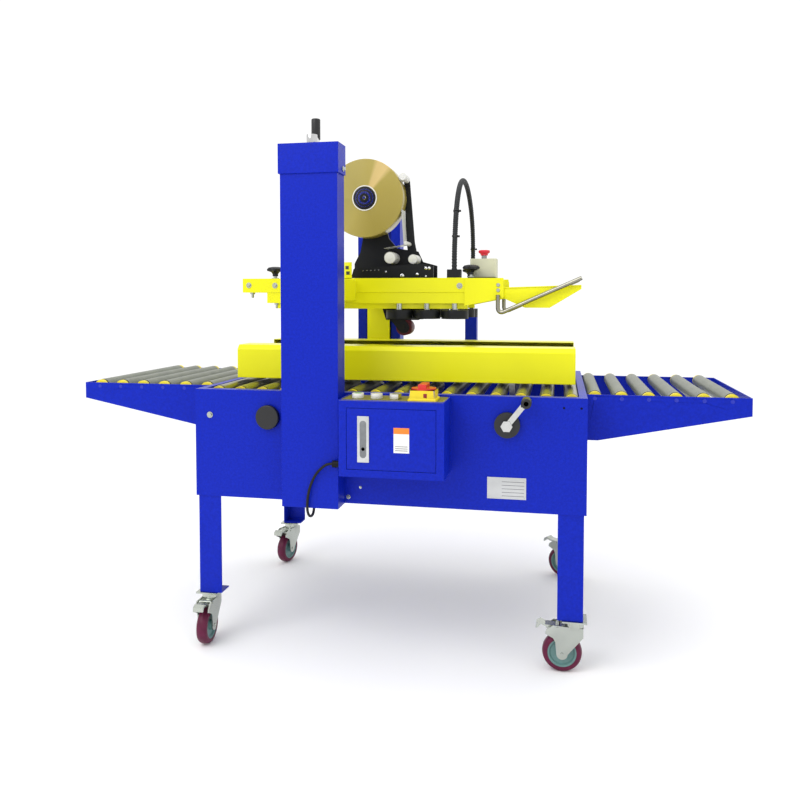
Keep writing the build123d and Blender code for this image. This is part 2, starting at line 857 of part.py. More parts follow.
# Tape head: a tall rear plate, a low front plate, guide rollers, the roll's spindle and the tall arm.
with BuildPart() as tape_head_frame:
    rear_plate_y = centre_y + plate_inside
    with BuildSketch(Plane.XZ.offset(-rear_plate_y - plate_thickness)):
        with BuildLine():
            Polyline(
                (-60, 882),
                (40, 882),
                (84, 930),
                (84, 1046),
                (40, 1058),
                (25, 1090),
                (-40, 1100),
                (-67, 1131),
                (-75, 1165),
                (-98, roll_z),
                (-158, roll_z),
                (-150, 1132),
                (-158, 1090),
                (-177, 1054),
                (-177, 1008),
                (-100, 1008),
                close=True,
            )
        make_face()
        with Locations((roll_x, roll_z)):
            Circle(30)
    extrude(amount=plate_thickness)
    with BuildSketch(Plane.XZ.offset(-(centre_y - plate_inside))):
        with BuildLine():
            Polyline(
                (-60, 882),
                (40, 882),
                (84, 930),
                (84, 1044),
                (44, 1050),
                (-160, 1036),
                (-168, 1008),
                (-100, 1008),
                close=True,
            )
        make_face()
    extrude(amount=plate_thickness)
    # The tall arm that leads the tape off the roll.
    with BuildSketch(Plane.XZ.offset(-rear_plate_y - plate_thickness)):
        with BuildLine():
            Polyline((-2, 1312), (14, 1118), (22, 1080), (-6, 1080), (-12, 1120), (-20, 1312), close=True)
        make_face()
    extrude(amount=plate_thickness)
    front_tip = centre_y - tape_width / 2
    guide_rollers = (
        (-11.0, 1310.0, 11.0),
        (-50.0, 1069.0, 17.5),
        (20.0, 1064.0, 14.0),
        (-2.0, 1112.0, 6.0),
    )
    for x, z, radius in guide_rollers:
        bar((x, rear_plate_y, z), (x, front_tip, z), radius)
    for x, z in ((-110, 1022), (60, 1022), (50, 900)):
        bar((x, centre_y - plate_inside - 1, z), (x, centre_y + plate_inside + 1, z), 6)
    bar((roll_x, rear_plate_y, roll_z), (roll_x, front_tip - 6, roll_z), spindle_radius)
    # Feet that hold the tape head between the two beams.
    for side in (-1, 1):
        block((-20, 20), across(side, plate_inside + plate_thickness - 1, beam_face - 3), (beam_bottom + sheet, 972))
    # Bushes for the applying arm's pivot.
    for side in (-1, 1):
        bar(
            (arm_pivot[0], centre_y + side * (plate_inside + plate_thickness), arm_pivot[1]),
            (arm_pivot[0], centre_y + side * (plate_inside - 1), arm_pivot[1]),
            10,
        )
    bar(
        (arm_pivot[0], centre_y - 60, arm_pivot[1]),
        (arm_pivot[0], centre_y + 60, arm_pivot[1]),
        6 + running_gap,
        mode=Mode.SUBTRACT,
    )
save(tape_head_frame, "tape_head_frame")

with BuildPart() as tape_roll:
    with BuildSketch(Plane.XZ.offset(-centre_y - tape_width / 2)):
        with Locations((roll_x, roll_z)):
            Circle(roll_radius)
            Circle(spindle_radius + running_gap, mode=Mode.SUBTRACT)
    extrude(amount=tape_width)
save(tape_roll, "tape_roll")

with BuildPart() as applying_arm:
    arm_plate = 27.0
    dx = arm_roller[0] - arm_pivot[0]
    dz = arm_roller[1] - arm_pivot[1]
    arm_length = (dx * dx + dz * dz) ** 0.5
    lean = degrees(atan2(dz, dx))
    for side in (-1, 1):
        plate_y = centre_y + side * (arm_plate + 4)
        middle = ((arm_pivot[0] + arm_roller[0]) / 2, (arm_pivot[1] + arm_roller[1]) / 2)
        with BuildSketch(Plane.XZ.offset(-plate_y)):
            with Locations(Location((*middle, 0), (0, 0, lean))):
                SlotCenterToCenter(arm_length, 34)
        extrude(amount=side * 4)
    bar(
        (arm_pivot[0], centre_y - plate_inside - plate_thickness, arm_pivot[1]),
        (arm_pivot[0], centre_y + plate_inside + plate_thickness, arm_pivot[1]),
        6,
    )
    bar(
        (arm_roller[0], centre_y - arm_plate - 6, arm_roller[1]),
        (arm_roller[0], centre_y + arm_plate + 6, arm_roller[1]),
        5,
    )
    bar(
        (arm_roller[0], centre_y - arm_plate + 1, arm_roller[1]),
        (arm_roller[0], centre_y + arm_plate - 1, arm_roller[1]),
        arm_roller_radius,
    )
save(applying_arm, "applying_arm")

# Flap guides at the infeed end: two flared wing plates, each with a bent round rod.
wing_x = beam_right + 103
wing_flare = 10.0
wing_length = 217.0
rod_radius = 6.0
with BuildPart() as flap_guides:
    for side in (-1, 1):
        heading = Vector(cos(radians(wing_flare)), side * sin(radians(wing_flare)), 0)
        start = Vector(wing_x, centre_y + side * (beam_face - 4), 0)
        with BuildSketch(Plane(origin=start, x_dir=heading, z_dir=heading.cross(Vector(0, 0, 1)))):
            with BuildLine():
                Polyline(
                    (-4, 978),
                    (wing_length, 984),
                    (wing_length, 973),
                    (wing_length * 0.6, 921),
                    (wing_length * 0.28, 921),
                    (-4, 949),
                    close=True,
                )
            make_face()
        extrude(amount=1, both=True)
        block(
            (wing_x - 40, wing_x + 2),
            across(side, beam_face - sheet, beam_face),
            (rail_bottom + 18, beam_top - 8),
        )
        rod_y = centre_y + side * (beam_face + sheet + rod_radius)
        tip_y = rod_y + side * 42
        with BuildLine() as rod_path:
            FilletPolyline(
                (wing_x - 15, rod_y, 957),
                (wing_x - 15, rod_y, 902),
                (wing_x + 214, tip_y, 1003),
                radius=22,
            )
        with BuildSketch(Plane(origin=rod_path.line @ 0, z_dir=rod_path.line % 0)):
            Circle(rod_radius)
        sweep(path=rod_path.line)
save(flap_guides, "flap_guides")

# Emergency stop: a small box on a bracket at the head's infeed end, with a mushroom button.
stop_x = 234.0
stop_y = centre_y - 36
stop_base = 1008.0
stop_top = 1062.0
stop_travel = 4.0
with BuildPart() as estop_box:
    block((stop_x - 38, stop_x + 38), (stop_y - 30, stop_y + 30), (stop_base, stop_top))
    fillet(estop_box.edges().filter_by(Axis.Z), 5)
    block((beam_right, stop_x + 38), (centre_y - 100, stop_y + 30), (stop_base - 6, stop_base))
    bar((stop_x, stop_y, stop_top - 14), (stop_x, stop_y, stop_top + 1), 8 + running_gap, mode=Mode.SUBTRACT)
save(estop_box, "estop_box")

with BuildPart() as estop_button:
    bar((stop_x, stop_y, stop_top - 8), (stop_x, stop_y, stop_top + 12), 8)
    bar((stop_x, stop_y, stop_top + 10), (stop_x, stop_y, stop_top + 26), 17)
    fillet(estop_button.edges().group_by(Axis.Z)[-1], 4)
save(estop_button, "estop_button")

# Post behind the bed with its gland block, where the head's conduit comes down.
post_y = bed_width / 2 + post_size / 2
with BuildPart() as conduit_post:
    half_post = post_size / 2
    block((post_x - half_post, post_x + half_post), across(1, post_y - half_post, post_y + half_post), (560, post_top))
    block(
        (post_x - half_post + sheet, post_x + half_post - sheet),
        across(1, post_y - half_post + sheet, post_y + half_post - sheet),
        (559, post_top + 1),
        mode=Mode.SUBTRACT,
    )
    block(
        (post_x - half_post, post_x + half_post),
        across(1, post_y - half_post, post_y + half_post),
        (post_top, post_top + gland_height),
    )
save(conduit_post, "conduit_post")


def cord_tube(points, diameter, label):
    """A round cord along straight runs joined by the largest arcs that the runs allow."""
    corners = [Vector(*point) for point in points]
    radii = []
    for before, corner, after in zip(corners, corners[1:], corners[2:]):
        shorter = min((corner - before).length, (after - corner).length)
        turn = (corner - before).get_angle(after - corner)
        radii.append(0.45 * shorter / tan(radians(turn) / 2))
    print(label, "radii", [round(radius) for radius in radii])
    with BuildPart() as cord:
        with BuildLine() as route:
            FilletPolyline(*corners, radius=radii)
        with BuildSketch(Plane(origin=route.line @ 0, z_dir=route.line % 0)):
            Circle(diameter / 2)
        sweep(path=route.line)
    section = pi * diameter**2 / 4
    length = sum(edge.length for edge in route.line.edges())
    print(label, "length", round(length, 1), "volume share", round(cord.part.volume / (section * length), 4))
    save(cord, label)


# Conduit from the head's gland block, over in a tall loop and down to the post.
conduit_points = [
    (154.0, centre_y - 95.0, beam_top + beam_gland_height),
    (154.0, centre_y - 95.0, 1078.0),
    (155.5, centre_y - 93.0, 1130.0),
    (156.0, centre_y - 80.0, 1184.0),
    (156.5, centre_y - 52.0, 1236.0),
    (156.5, centre_y - 6.0, 1278.0),
    (156.0, centre_y + 56.0, 1306.0),
    (156.0, centre_y + 124.0, 1314.0),
    (157.0, centre_y + 192.0, 1303.0),
    (158.0, centre_y + 256.0, 1271.0),
    (158.5, centre_y + 312.0, 1222.0),
    (158.0, centre_y + 352.0, 1162.0),
    (156.5, centre_y + 374.0, 1096.0),
    (154.0, centre_y + 384.0, 1030.0),
    (post_x, centre_y + post_y, 968.0),
    (post_x, centre_y + post_y, post_top + gland_height),
]
cord_tube(conduit_points, conduit_diameter, "head_conduit")

# Cable from the control box, down beside the column and up into its foot.
cable_points = [
    (box_left - 26, gland_y, gland_z),
    (-124.0, gland_y, gland_z),
    (-140.0, front_y - 75.0, 516.0),
    (-154.0, front_y - 74.5, 501.0),
    (-165.0, front_y - 74.0, 482.0),
    (-173.0, front_y - 73.0, 461.0),
    (-178.0, front_y - 72.5, 439.0),
    (-180.0, front_y - 72.0, 417.0),
    (-180.0, front_y - 68.5, 398.0),
    (-179.0, front_y - 58.0, 385.0),
    (-177.0, front_y - 44.0, 381.0),
    (-175.5, front_y - 34.0, 386.5),
    (-175.0, front_y - 30.0, 398.0),
    (-175.0, front_y - 30.0, bed_bottom),
]
cord_tube(cable_points, cable_diameter, "box_cable")

# Lower tape head: a cartridge between the inner rails that tapes the carton's underside.
with BuildPart() as lower_tape_head:
    head_left = -150.0
    head_right = 100.0
    for side in (-1, 1):
        block((head_left, head_right), across(side, 34, 39), (520, 672))
    for x, z, radius in ((-95, 672, 17), (45, 672, 17), (-20, 560, 12)):
        bar((x, centre_y - 34, z), (x, centre_y + 34, z), radius)
    for x, z in ((-140, 530), (90, 530), (-30, 640)):
        bar((x, centre_y - 34.5, z), (x, centre_y + 34.5, z), 6)
    block((rail_ends[0] + sheet, head_left + 1), across(1, -39, 39), (610, 616))
    block((head_right - 1, rail_ends[1]), across(1, -39, 39), (610, 616))
save(lower_tape_head, "lower_tape_head")

# Zinc-plated hardware: caster plates, button bezels, panel screws and the cap's screws.
with BuildPart() as fasteners:
    for end in (-1, 1):
        for side in (-1, 1):
            x = end * (leg_x + caster_outset)
            y = centre_y + side * leg_y
            block((x - 31, x + 31), (y - 30, y + 30), (caster_height - caster_plate, caster_height))
    for x in button_xs:
        with Locations((x, button_y, console_top)):
            Cylinder(bezel_radius, bezel_height, align=(Align.CENTER, Align.CENTER, Align.MIN))
            Cylinder(
                button_radius + fit_gap,
                bezel_height,
                align=(Align.CENTER, Align.CENTER, Align.MIN),
                mode=Mode.SUBTRACT,
            )
    panel_screws = (
        (-479.5, 631.0, 8.5),
        (column_right + 9.0, 425.0, 6.0),
        (-57.0, 452.0, 3.5),
    )
    for x, z, radius in panel_screws:
        for side in (-1, 1):
            surface = centre_y + side * bed_width / 2
            bar((x, surface, z), (x, surface + side * 1.5, z), radius)
            bar((x, surface + side, z), (x, surface + side * 5, z), radius * 0.62)
    for side in (-1, 1):
        right = column_right + cap_overhang
        y = centre_y + side * (screw_y - 6)
        bar((right, y, column_top + 8), (right + 2, y, column_top + 8), 7)
        bar((right + 1, y, column_top + 8), (right + 7, y, column_top + 8), 4)
save(fasteners, "fasteners")
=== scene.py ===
import json
from math import atan2, cos, pi, radians, sin

import bmesh
import bpy
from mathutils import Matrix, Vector


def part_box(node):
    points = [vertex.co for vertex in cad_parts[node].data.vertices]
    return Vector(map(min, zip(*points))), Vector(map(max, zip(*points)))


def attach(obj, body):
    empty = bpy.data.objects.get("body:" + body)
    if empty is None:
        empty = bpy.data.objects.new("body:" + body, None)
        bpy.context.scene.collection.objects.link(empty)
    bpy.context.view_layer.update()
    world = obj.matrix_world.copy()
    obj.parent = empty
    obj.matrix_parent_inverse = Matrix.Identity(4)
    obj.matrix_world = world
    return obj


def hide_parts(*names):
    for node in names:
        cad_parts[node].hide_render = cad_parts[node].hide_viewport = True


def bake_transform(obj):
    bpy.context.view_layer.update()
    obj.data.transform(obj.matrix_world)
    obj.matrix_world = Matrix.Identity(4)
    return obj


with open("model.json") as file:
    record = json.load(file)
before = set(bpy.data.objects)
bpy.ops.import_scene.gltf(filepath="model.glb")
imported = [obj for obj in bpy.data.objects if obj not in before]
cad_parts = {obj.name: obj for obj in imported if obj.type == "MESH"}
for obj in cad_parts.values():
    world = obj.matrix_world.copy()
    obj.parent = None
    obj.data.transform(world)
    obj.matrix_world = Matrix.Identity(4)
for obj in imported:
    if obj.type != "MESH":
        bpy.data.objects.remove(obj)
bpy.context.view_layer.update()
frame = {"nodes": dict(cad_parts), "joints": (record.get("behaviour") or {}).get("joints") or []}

# Camera, at the operator's side and a little to the right, at chest height.
# A moderate wide lens, level but for a slight tilt down.
camera_data = bpy.data.cameras.new("camera")
camera_data.sensor_width = 36
camera_data.lens = 34.89
camera_data.shift_x = -0.0042
camera_data.shift_y = -0.0881
camera = bpy.data.objects.new("camera", camera_data)
camera.location = (0.4512, -2.2909, 0.9556)
camera.rotation_euler = (pi / 2 - 0.044, 0, 0.1986)
bpy.context.scene.collection.objects.link(camera)
bpy.context.scene.camera = camera
bpy.context.scene.view_settings.view_transform = "Standard"

# Conduit between the head and the post behind the bed.
# A 16 mm corrugated black plastic hose, held in a gland at each end and free between them.
millimetre = 0.001
centre_y = 24 * millimetre
post_x = 151
post_y = 380


def route_of(name, points):
    """A smooth open line through the given route, in millimetres from the centre plane."""
    curve = bpy.data.curves.new(name, "CURVE")
    curve.dimensions = "3D"
    spline = curve.splines.new("NURBS")
    spline.points.add(len(points) - 1)
    for point, (x, y, z) in zip(spline.points, points):
        point.co = (x * millimetre, centre_y + y * millimetre, z * millimetre, 1)
    spline.order_u = 3
    spline.use_endpoint_u = True
    return curve


def finish(name, colour, roughness, metallic=0.0, zones=(), relief=(900, 0.0), shade=(60, 0.0), gloss=0.5):
    """A material of one finish, with other finishes inside given boxes of the piece.

    A zone is (low corner, high corner, colour, roughness, metallic). Relief and shade are the
    scale and the depth of the surface grain and of the unevenness of the colour, and gloss is
    how strongly the clear surface reflects.
    """
    material = bpy.data.materials.new(name)
    material.use_nodes = True
    tree = material.node_tree
    shader = tree.nodes["Principled BSDF"]
    coords = tree.nodes.new("ShaderNodeTexCoord").outputs["Object"]
    shader.inputs["Roughness"].default_value = roughness
    shader.inputs["Metallic"].default_value = metallic
    shader.inputs["Specular IOR Level"].default_value = gloss
    shader.inputs["Base Color"].default_value = (*colour, 1)
    paint = (*colour, 1)
    if zones:
        split = tree.nodes.new("ShaderNodeSeparateXYZ")
        tree.links.new(coords, split.inputs[0])
    dullness, metal = roughness, metallic
    for low, high, zone_colour, zone_roughness, zone_metallic in zones:
        inside = None
        for axis in range(3):
            if low[axis] is None:
                continue
            near = tree.nodes.new("ShaderNodeMath")
            near.operation = "COMPARE"
            tree.links.new(split.outputs[axis], near.inputs[0])
            near.inputs[1].default_value = (low[axis] + high[axis]) / 2
            near.inputs[2].default_value = abs(high[axis] - low[axis]) / 2
            if inside is None:
                inside = near.outputs[0]
                continue
            both = tree.nodes.new("ShaderNodeMath")
            both.operation = "MULTIPLY"
            tree.links.new(inside, both.inputs[0])
            tree.links.new(near.outputs[0], both.inputs[1])
            inside = both.outputs[0]
        paint = mixed(tree, "RGBA", inside, paint, (*zone_colour, 1))
        dullness = mixed(tree, "FLOAT", inside, dullness, zone_roughness)
        metal = mixed(tree, "FLOAT", inside, metal, zone_metallic)
    if zones:
        tree.links.new(dullness, shader.inputs["Roughness"])
        tree.links.new(metal, shader.inputs["Metallic"])
    if shade[1]:
        cloud = tree.nodes.new("ShaderNodeTexNoise")
        cloud.inputs["Scale"].default_value = shade[0]
        cloud.inputs["Detail"].default_value = 6
        tree.links.new(coords, cloud.inputs["Vector"])
        spread = tree.nodes.new("ShaderNodeMapRange")
        spread.inputs["From Min"].default_value = 0.3
        spread.inputs["From Max"].default_value = 0.7
        spread.inputs["To Min"].default_value = 1 - shade[1]
        spread.inputs["To Max"].default_value = 1
        tree.links.new(cloud.outputs[0], spread.inputs["Value"])
        product = tree.nodes.new("ShaderNodeVectorMath")
        product.operation = "SCALE"
        if isinstance(paint, tuple):
            product.inputs[0].default_value = paint[:3]
        else:
            tree.links.new(paint, product.inputs[0])
        tree.links.new(spread.outputs[0], product.inputs["Scale"])
        paint = product.outputs[0]
    if not isinstance(paint, tuple):
        tree.links.new(paint, shader.inputs["Base Color"])
    if relief[1]:
        grain = tree.nodes.new("ShaderNodeTexNoise")
        grain.inputs["Scale"].default_value = relief[0]
        grain.inputs["Detail"].default_value = 2
        tree.links.new(coords, grain.inputs["Vector"])
        bump = tree.nodes.new("ShaderNodeBump")
        bump.inputs["Strength"].default_value = relief[1]
        bump.inputs["Distance"].default_value = millimetre
        tree.links.new(grain.outputs[0], bump.inputs["Height"])
        tree.links.new(bump.outputs[0], shader.inputs["Normal"])
    return material


def mixed(tree, kind, mask, outside, inside):
    """The inside value where the mask is 1, and the outside value elsewhere."""
    mix = tree.nodes.new("ShaderNodeMix")
    mix.data_type = kind
    first, second, result = (6, 7, 2) if kind == "RGBA" else (2, 3, 0)
    tree.links.new(mask, mix.inputs[0])
    for index, value in ((first, outside), (second, inside)):
        if isinstance(value, bpy.types.NodeSocket):
            tree.links.new(value, mix.inputs[index])
        else:
            mix.inputs[index].default_value = value
    return mix.outputs[result]


conduit_black = (0.016, 0.018, 0.02)
conduit_plastic = finish(
    "conduit_plastic", conduit_black, 0.42, relief=(700, 0.3), shade=(40, 0.3), gloss=0.3
)
conduit_route = route_of(
    "conduit_route",
    [
        (154, -95, 1030),
        (154, -95, 1078),
        (155.5, -93, 1130),
        (156, -80, 1184),
        (156.5, -52, 1236),
        (156.5, -6, 1278),
        (156, 56, 1306),
        (156, 124, 1314),
        (157, 192, 1303),
        (158, 256, 1271),
        (158.5, 312, 1222),
        (158, 352, 1162),
        (156.5, 374, 1096),
        (154, 384, 1030),
        (post_x, post_y, 968),
        (post_x, post_y, 910),
    ],
)
conduit_route.splines[0].resolution_u = 36
route_object = bpy.data.objects.new("conduit_route", conduit_route)
route_mesh = bpy.data.meshes.new_from_object(route_object)
conduit_path = [vertex.co.copy() for vertex in route_mesh.vertices]
bpy.data.objects.remove(route_object)
ridged = bpy.data.curves.new("conduit_ridges", "CURVE")
ridged.dimensions = "3D"
ridged.bevel_depth = 8 * millimetre
ridged.bevel_resolution = 5
ridged.use_fill_caps = True
ridge_line = ridged.splines.new("POLY")
ridge_line.points.add(len(conduit_path) - 1)
for index, place in enumerate(conduit_path):
    ridge_line.points[index].co = (*place, 1)
    ridge_line.points[index].radius = 1.0 if index % 4 < 2 else 0.86
ridged_object = bpy.data.objects.new("conduit_ridges", ridged)
head_conduit = bpy.data.objects.new("corrugated_conduit", bpy.data.meshes.new_from_object(ridged_object))
bpy.data.objects.remove(ridged_object)
head_conduit.data.materials.clear()
head_conduit.data.materials.append(conduit_plastic)
bpy.context.scene.collection.objects.link(head_conduit)
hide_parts("head_conduit")
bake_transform(head_conduit)

# Cable from the control box down into the foot of the front column.
# A 7 mm black sheathed cable with a slack bow under the column.
sheath = finish("cable_sheath", (0.012, 0.012, 0.013), 0.45, relief=(500, 0.15), shade=(50, 0.25), gloss=0.2)
box_cable_line = route_of(
    "box_cable_line",
    [
        (-110, -436, 528),
        (-124, -436, 528),
        (-140, -435, 516),
        (-154, -434.5, 501),
        (-165, -434, 482),
        (-173, -433, 461),
        (-178, -432.5, 439),
        (-180, -432, 417),
        (-180, -428.5, 398),
        (-179, -418, 385),
        (-177, -404, 381),
        (-175.5, -394, 386.5),
        (-175, -390, 398),
        (-175, -390, 408),
    ],
)
box_cable_line.bevel_depth = 3.5 * millimetre
box_cable_line.bevel_resolution = 5
box_cable_line.splines[0].resolution_u = 12
box_cable_line.materials.append(sheath)
box_cable = bpy.data.objects.new("box_cable_line", box_cable_line)
bpy.context.scene.collection.objects.link(box_cable)
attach(box_cable, "root")
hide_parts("box_cable")


def piece_of(shape, name, body, slot, *materials):
    """A finished piece from a bmesh, smooth but for its sharp edges, that rides on a body."""
    bmesh.ops.recalc_face_normals(shape, faces=shape.faces)
    mesh = bpy.data.meshes.new(name)
    shape.to_mesh(mesh)
    shape.free()
    for material in materials:
        mesh.materials.append(material)
    mesh.shade_smooth()
    mesh.set_sharp_from_angle(angle=radians(32))
    piece = bpy.data.objects.new(name, mesh)
    bpy.context.scene.collection.objects.link(piece)
    if body:
        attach(piece, body)
    return piece


def turn_up(shape, profile, base, axis, steps=32):
    """Add a lathe-turned form: its profile is (radius, height) along the axis from the base."""
    base = Vector(base)
    axis = Vector(axis).normalized()
    side = axis.orthogonal().normalized()
    rim = [shape.verts.new(base + side * radius + axis * height) for radius, height in profile]
    lines = [shape.edges.new(pair) for pair in zip(rim, rim[1:])]
    old = set(shape.verts) - set(rim)
    bmesh.ops.spin(shape, geom=rim + lines, cent=base, axis=axis, angle=2 * pi, steps=steps, use_merge=True)
    new = [vertex for vertex in shape.verts if vertex not in old]
    bmesh.ops.remove_doubles(shape, verts=new, dist=1e-6)
    return [vertex for vertex in shape.verts if vertex not in old]


def slab(shape, low, high, edge):
    """Add a block between two corners, with its edges rounded."""
    low, high = Vector(low), Vector(high)
    corners = bmesh.ops.create_cube(shape, size=1)["verts"]
    bmesh.ops.scale(shape, vec=high - low, verts=corners)
    bmesh.ops.translate(shape, vec=(low + high) / 2, verts=corners)
    lines = list({line for corner in corners for line in corner.link_edges})
    bmesh.ops.bevel(
        shape,
        geom=lines,
        offset=edge,
        offset_type="OFFSET",
        affect="EDGES",
        segments=2,
        profile=0.5,
        material=-1,
    )


def cut_plate(shape, outline, thickness, edge):
    """Add a flat plate with rounded edges: its outline, pushed out by its thickness."""
    corners = [shape.verts.new(corner) for corner in outline]
    face = shape.faces.new(corners)
    pushed = bmesh.ops.extrude_face_region(shape, geom=[face])["geom"]
    far = [item for item in pushed if isinstance(item, bmesh.types.BMVert)]
    bmesh.ops.translate(shape, vec=Vector(thickness), verts=far)
    lines = list({line for corner in corners + far for line in corner.link_edges})
    bmesh.ops.bevel(
        shape,
        geom=lines,
        offset=edge,
        offset_type="OFFSET",
        affect="EDGES",
        segments=2,
        profile=0.5,
        material=-1,
    )


# Cable ties round the conduit: black nylon bands, moulded with a ratchet head.
# Each is pulled tight round the hose, with its head standing out on one side.
tie_plastic = finish("tie_plastic", (0.01, 0.01, 0.011), 0.35, relief=(600, 0.1), shade=(80, 0.2))
for number, share in enumerate((0.1, 0.2, 0.8)):
    index = int(share * len(conduit_path))
    run = (conduit_path[index + 1] - conduit_path[index - 1]).normalized()
    shape = bmesh.new()
    turn_up(
        shape,
        [(0.0078, -0.002), (0.0092, -0.002), (0.0092, 0.002), (0.0078, 0.002), (0.0078, -0.002)],
        conduit_path[index],
        run,
        steps=24,
    )
    head = conduit_path[index] + Vector((0.0108, 0, 0))
    slab(shape, head - Vector((0.003, 0.003, 0.003)), head + Vector((0.003, 0.003, 0.003)), 0.0006)
    tie = piece_of(shape, f"cable_tie_{number + 1}", None, "black_plastic", tie_plastic)
    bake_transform(tie)

# Blue steelwork: the bed, its legs and tables, the two columns with their caps, and the post.
# Folded and welded sheet steel under a deep blue powder coat with a fine pebbled grain.
blue = (0.003, 0.018, 0.44)
black = (0.008, 0.008, 0.009)


def edged(node, width):
    """Round a folded part's edges a little, so that they catch the light."""
    weld = frame["nodes"][node].modifiers.new("weld", "WELD")
    weld.merge_threshold = 0.01 * millimetre
    round_over = frame["nodes"][node].modifiers.new("round_over", "BEVEL")
    round_over.width = width
    round_over.segments = 2
    round_over.limit_method = "ANGLE"
    round_over.angle_limit = radians(40)
    round_over.use_clamp_overlap = True


def dress(node, material):
    """Give a CAD node its finish."""
    mesh = frame["nodes"][node].data
    mesh.materials.clear()
    mesh.materials.append(material)


blue_paint = finish("blue_paint", blue, 0.34, relief=(420, 0.35), shade=(170, 0.22), gloss=0.13)
for node in (
    "bed_frame",
    "leg_posts",
    "infeed_table_frame",
    "outfeed_table_frame",
    "front_column",
    "rear_column",
    "column_caps",
):
    dress(node, blue_paint)
    if node != "bed_frame":
        edged(node, 1.2 * millimetre)

post_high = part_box("conduit_post")[1]
gland_bottom = post_high.z - 0.030
post_paint = finish(
    "post_paint",
    blue,
    0.34,
    zones=[((None, None, gland_bottom), (None, None, post_high.z + 0.001), black, 0.4, 0)],
    relief=(420, 0.35),
    shade=(170, 0.22),
    gloss=0.13,
)
dress("conduit_post", post_paint)
edged("conduit_post", 1.2 * millimetre)

# Yellow steelwork: the head's beams and arms, and the covers of the two belt units.
# Folded sheet under a smooth, bright yellow gloss coat.
yellow = (0.84, 0.82, 0.008)
yellow_paint = finish("yellow_paint", yellow, 0.3, relief=(260, 0.06), shade=(7, 0.05), gloss=0.25)
for node in ("front_guard", "rear_guard"):
    dress(node, yellow_paint)
    edged(node, 1.5 * millimetre)
head_paint = finish(
    "head_paint",
    yellow,
    0.3,
    zones=[((0.130, None, 1.0063), (0.178, None, 1.04), black, 0.4, 0)],
    relief=(260, 0.06),
    shade=(7, 0.05),
    gloss=0.25,
)
dress("head_frame", head_paint)
edged("head_frame", 1.0 * millimetre)

# Rollers of the bed: zinc-plated tubes with yellow plastic end caps and a dark bearing ring.
# The tables' rollers have the same caps on olive-grey plastic sleeves.
cap_yellow = (0.80, 0.66, 0.02)
# The bed rollers' steel colour is zinc grey with a yellow cast mixed in; that cast is painted reflection of
# the yellow guards above the bed.
steel = (0.30, 0.295, 0.20)
sleeve_grey = (0.20, 0.215, 0.175)
cap_length = 0.012
ring_length = 0.003


def roller_zones(half):
    """The end caps and bearing rings of a roller with this half length."""
    zones = []
    for side in (-1, 1):
        cap = sorted((centre_y + side * (half - cap_length), centre_y + side * (half + 0.01)))
        inner = half - cap_length
        ring = sorted((centre_y + side * inner, centre_y + side * (inner - ring_length)))
        zones.append(((None, ring[0], None), (None, ring[1], None), black, 0.5, 0))
        zones.append(((None, cap[0], None), (None, cap[1], None), cap_yellow, 0.4, 0))
        stub = sorted((centre_y + side * (half + 0.0005), centre_y + side * (half + 0.01)))
        zones.append(((None, stub[0], None), (None, stub[1], None), blue, 0.4, 0))
    return zones


bed_half = 0.331
table_half = 0.246
bed_roller_steel = finish(
    "bed_roller_steel",
    steel,
    0.3,
    0.9,
    zones=roller_zones(bed_half),
    relief=(300, 0.05),
    shade=(35, 0.25),
)
dress("bed_rollers", bed_roller_steel)
sleeve = finish(
    "roller_sleeve",
    sleeve_grey,
    0.42,
    zones=roller_zones(table_half),
    relief=(500, 0.12),
    shade=(25, 0.2),
)
for side in ("infeed", "outfeed"):
    for number in range(1, 7):
        dress(f"{side}_roller_{number}", sleeve)

# Casters: pressed steel forks and brake pedals, bright zinc plated, that swivel under the legs.
# Each wheel is a maroon tyre moulded on a grey-green plastic hub.
zinc = finish("zinc_plating", (0.50, 0.53, 0.48), 0.24, 1.0, relief=(350, 0.12), shade=(14, 0.2))
tyre = finish("maroon_tyre", (0.12, 0.006, 0.040), 0.4, relief=(300, 0.1), shade=(60, 0.3), gloss=0.3)
hub_plastic = finish("hub_plastic", (0.12, 0.24, 0.23), 0.4, relief=(300, 0.1), shade=(60, 0.15))
wheel_joints = {joint["name"]: joint for joint in frame["joints"]}
for corner in ("front_left", "front_right", "rear_left", "rear_right"):
    dress(f"{corner}_fork", zinc)
    edged(f"{corner}_fork", 0.8 * millimetre)
    dress(f"{corner}_pedal", zinc)
    joint = wheel_joints[f"{corner}_wheel_spin"]
    axle, square = joint["pos_m"], joint["axis"]
    shape = bmesh.new()
    tread = [(0.0365, -0.0145)]
    for step in range(9):
        angle = radians(-90 + step * 22.5)
        tread.append((0.0430 + 0.0070 * cos(angle), 0.0145 * sin(angle)))
    tread += [(0.0365, 0.0145), (0.0355, 0.0100), (0.0355, -0.0100), (0.0365, -0.0145)]
    turn_up(shape, tread, axle, square, steps=64)
    piece_of(shape, f"{corner}_tyre", f"{corner}_wheel", "caster_tyre", tyre)
    shape = bmesh.new()
    hub = [
        (0.0042, -0.0170),
        (0.0120, -0.0170),
        (0.0135, -0.0155),
        (0.0145, -0.0085),
        (0.0290, -0.0085),
        (0.0320, -0.0130),
        (0.0364, -0.0135),
        (0.0364, 0.0135),
        (0.0320, 0.0130),
        (0.0290, 0.0085),
        (0.0145, 0.0085),
        (0.0135, 0.0155),
        (0.0120, 0.0170),
        (0.0042, 0.0170),
        (0.0042, -0.0170),
    ]
    turn_up(shape, hub, axle, square, steps=48)
    hub_piece = piece_of(shape, f"{corner}_hub", f"{corner}_wheel", "caster_tyre", hub_plastic)
    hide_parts(f"{corner}_wheel")

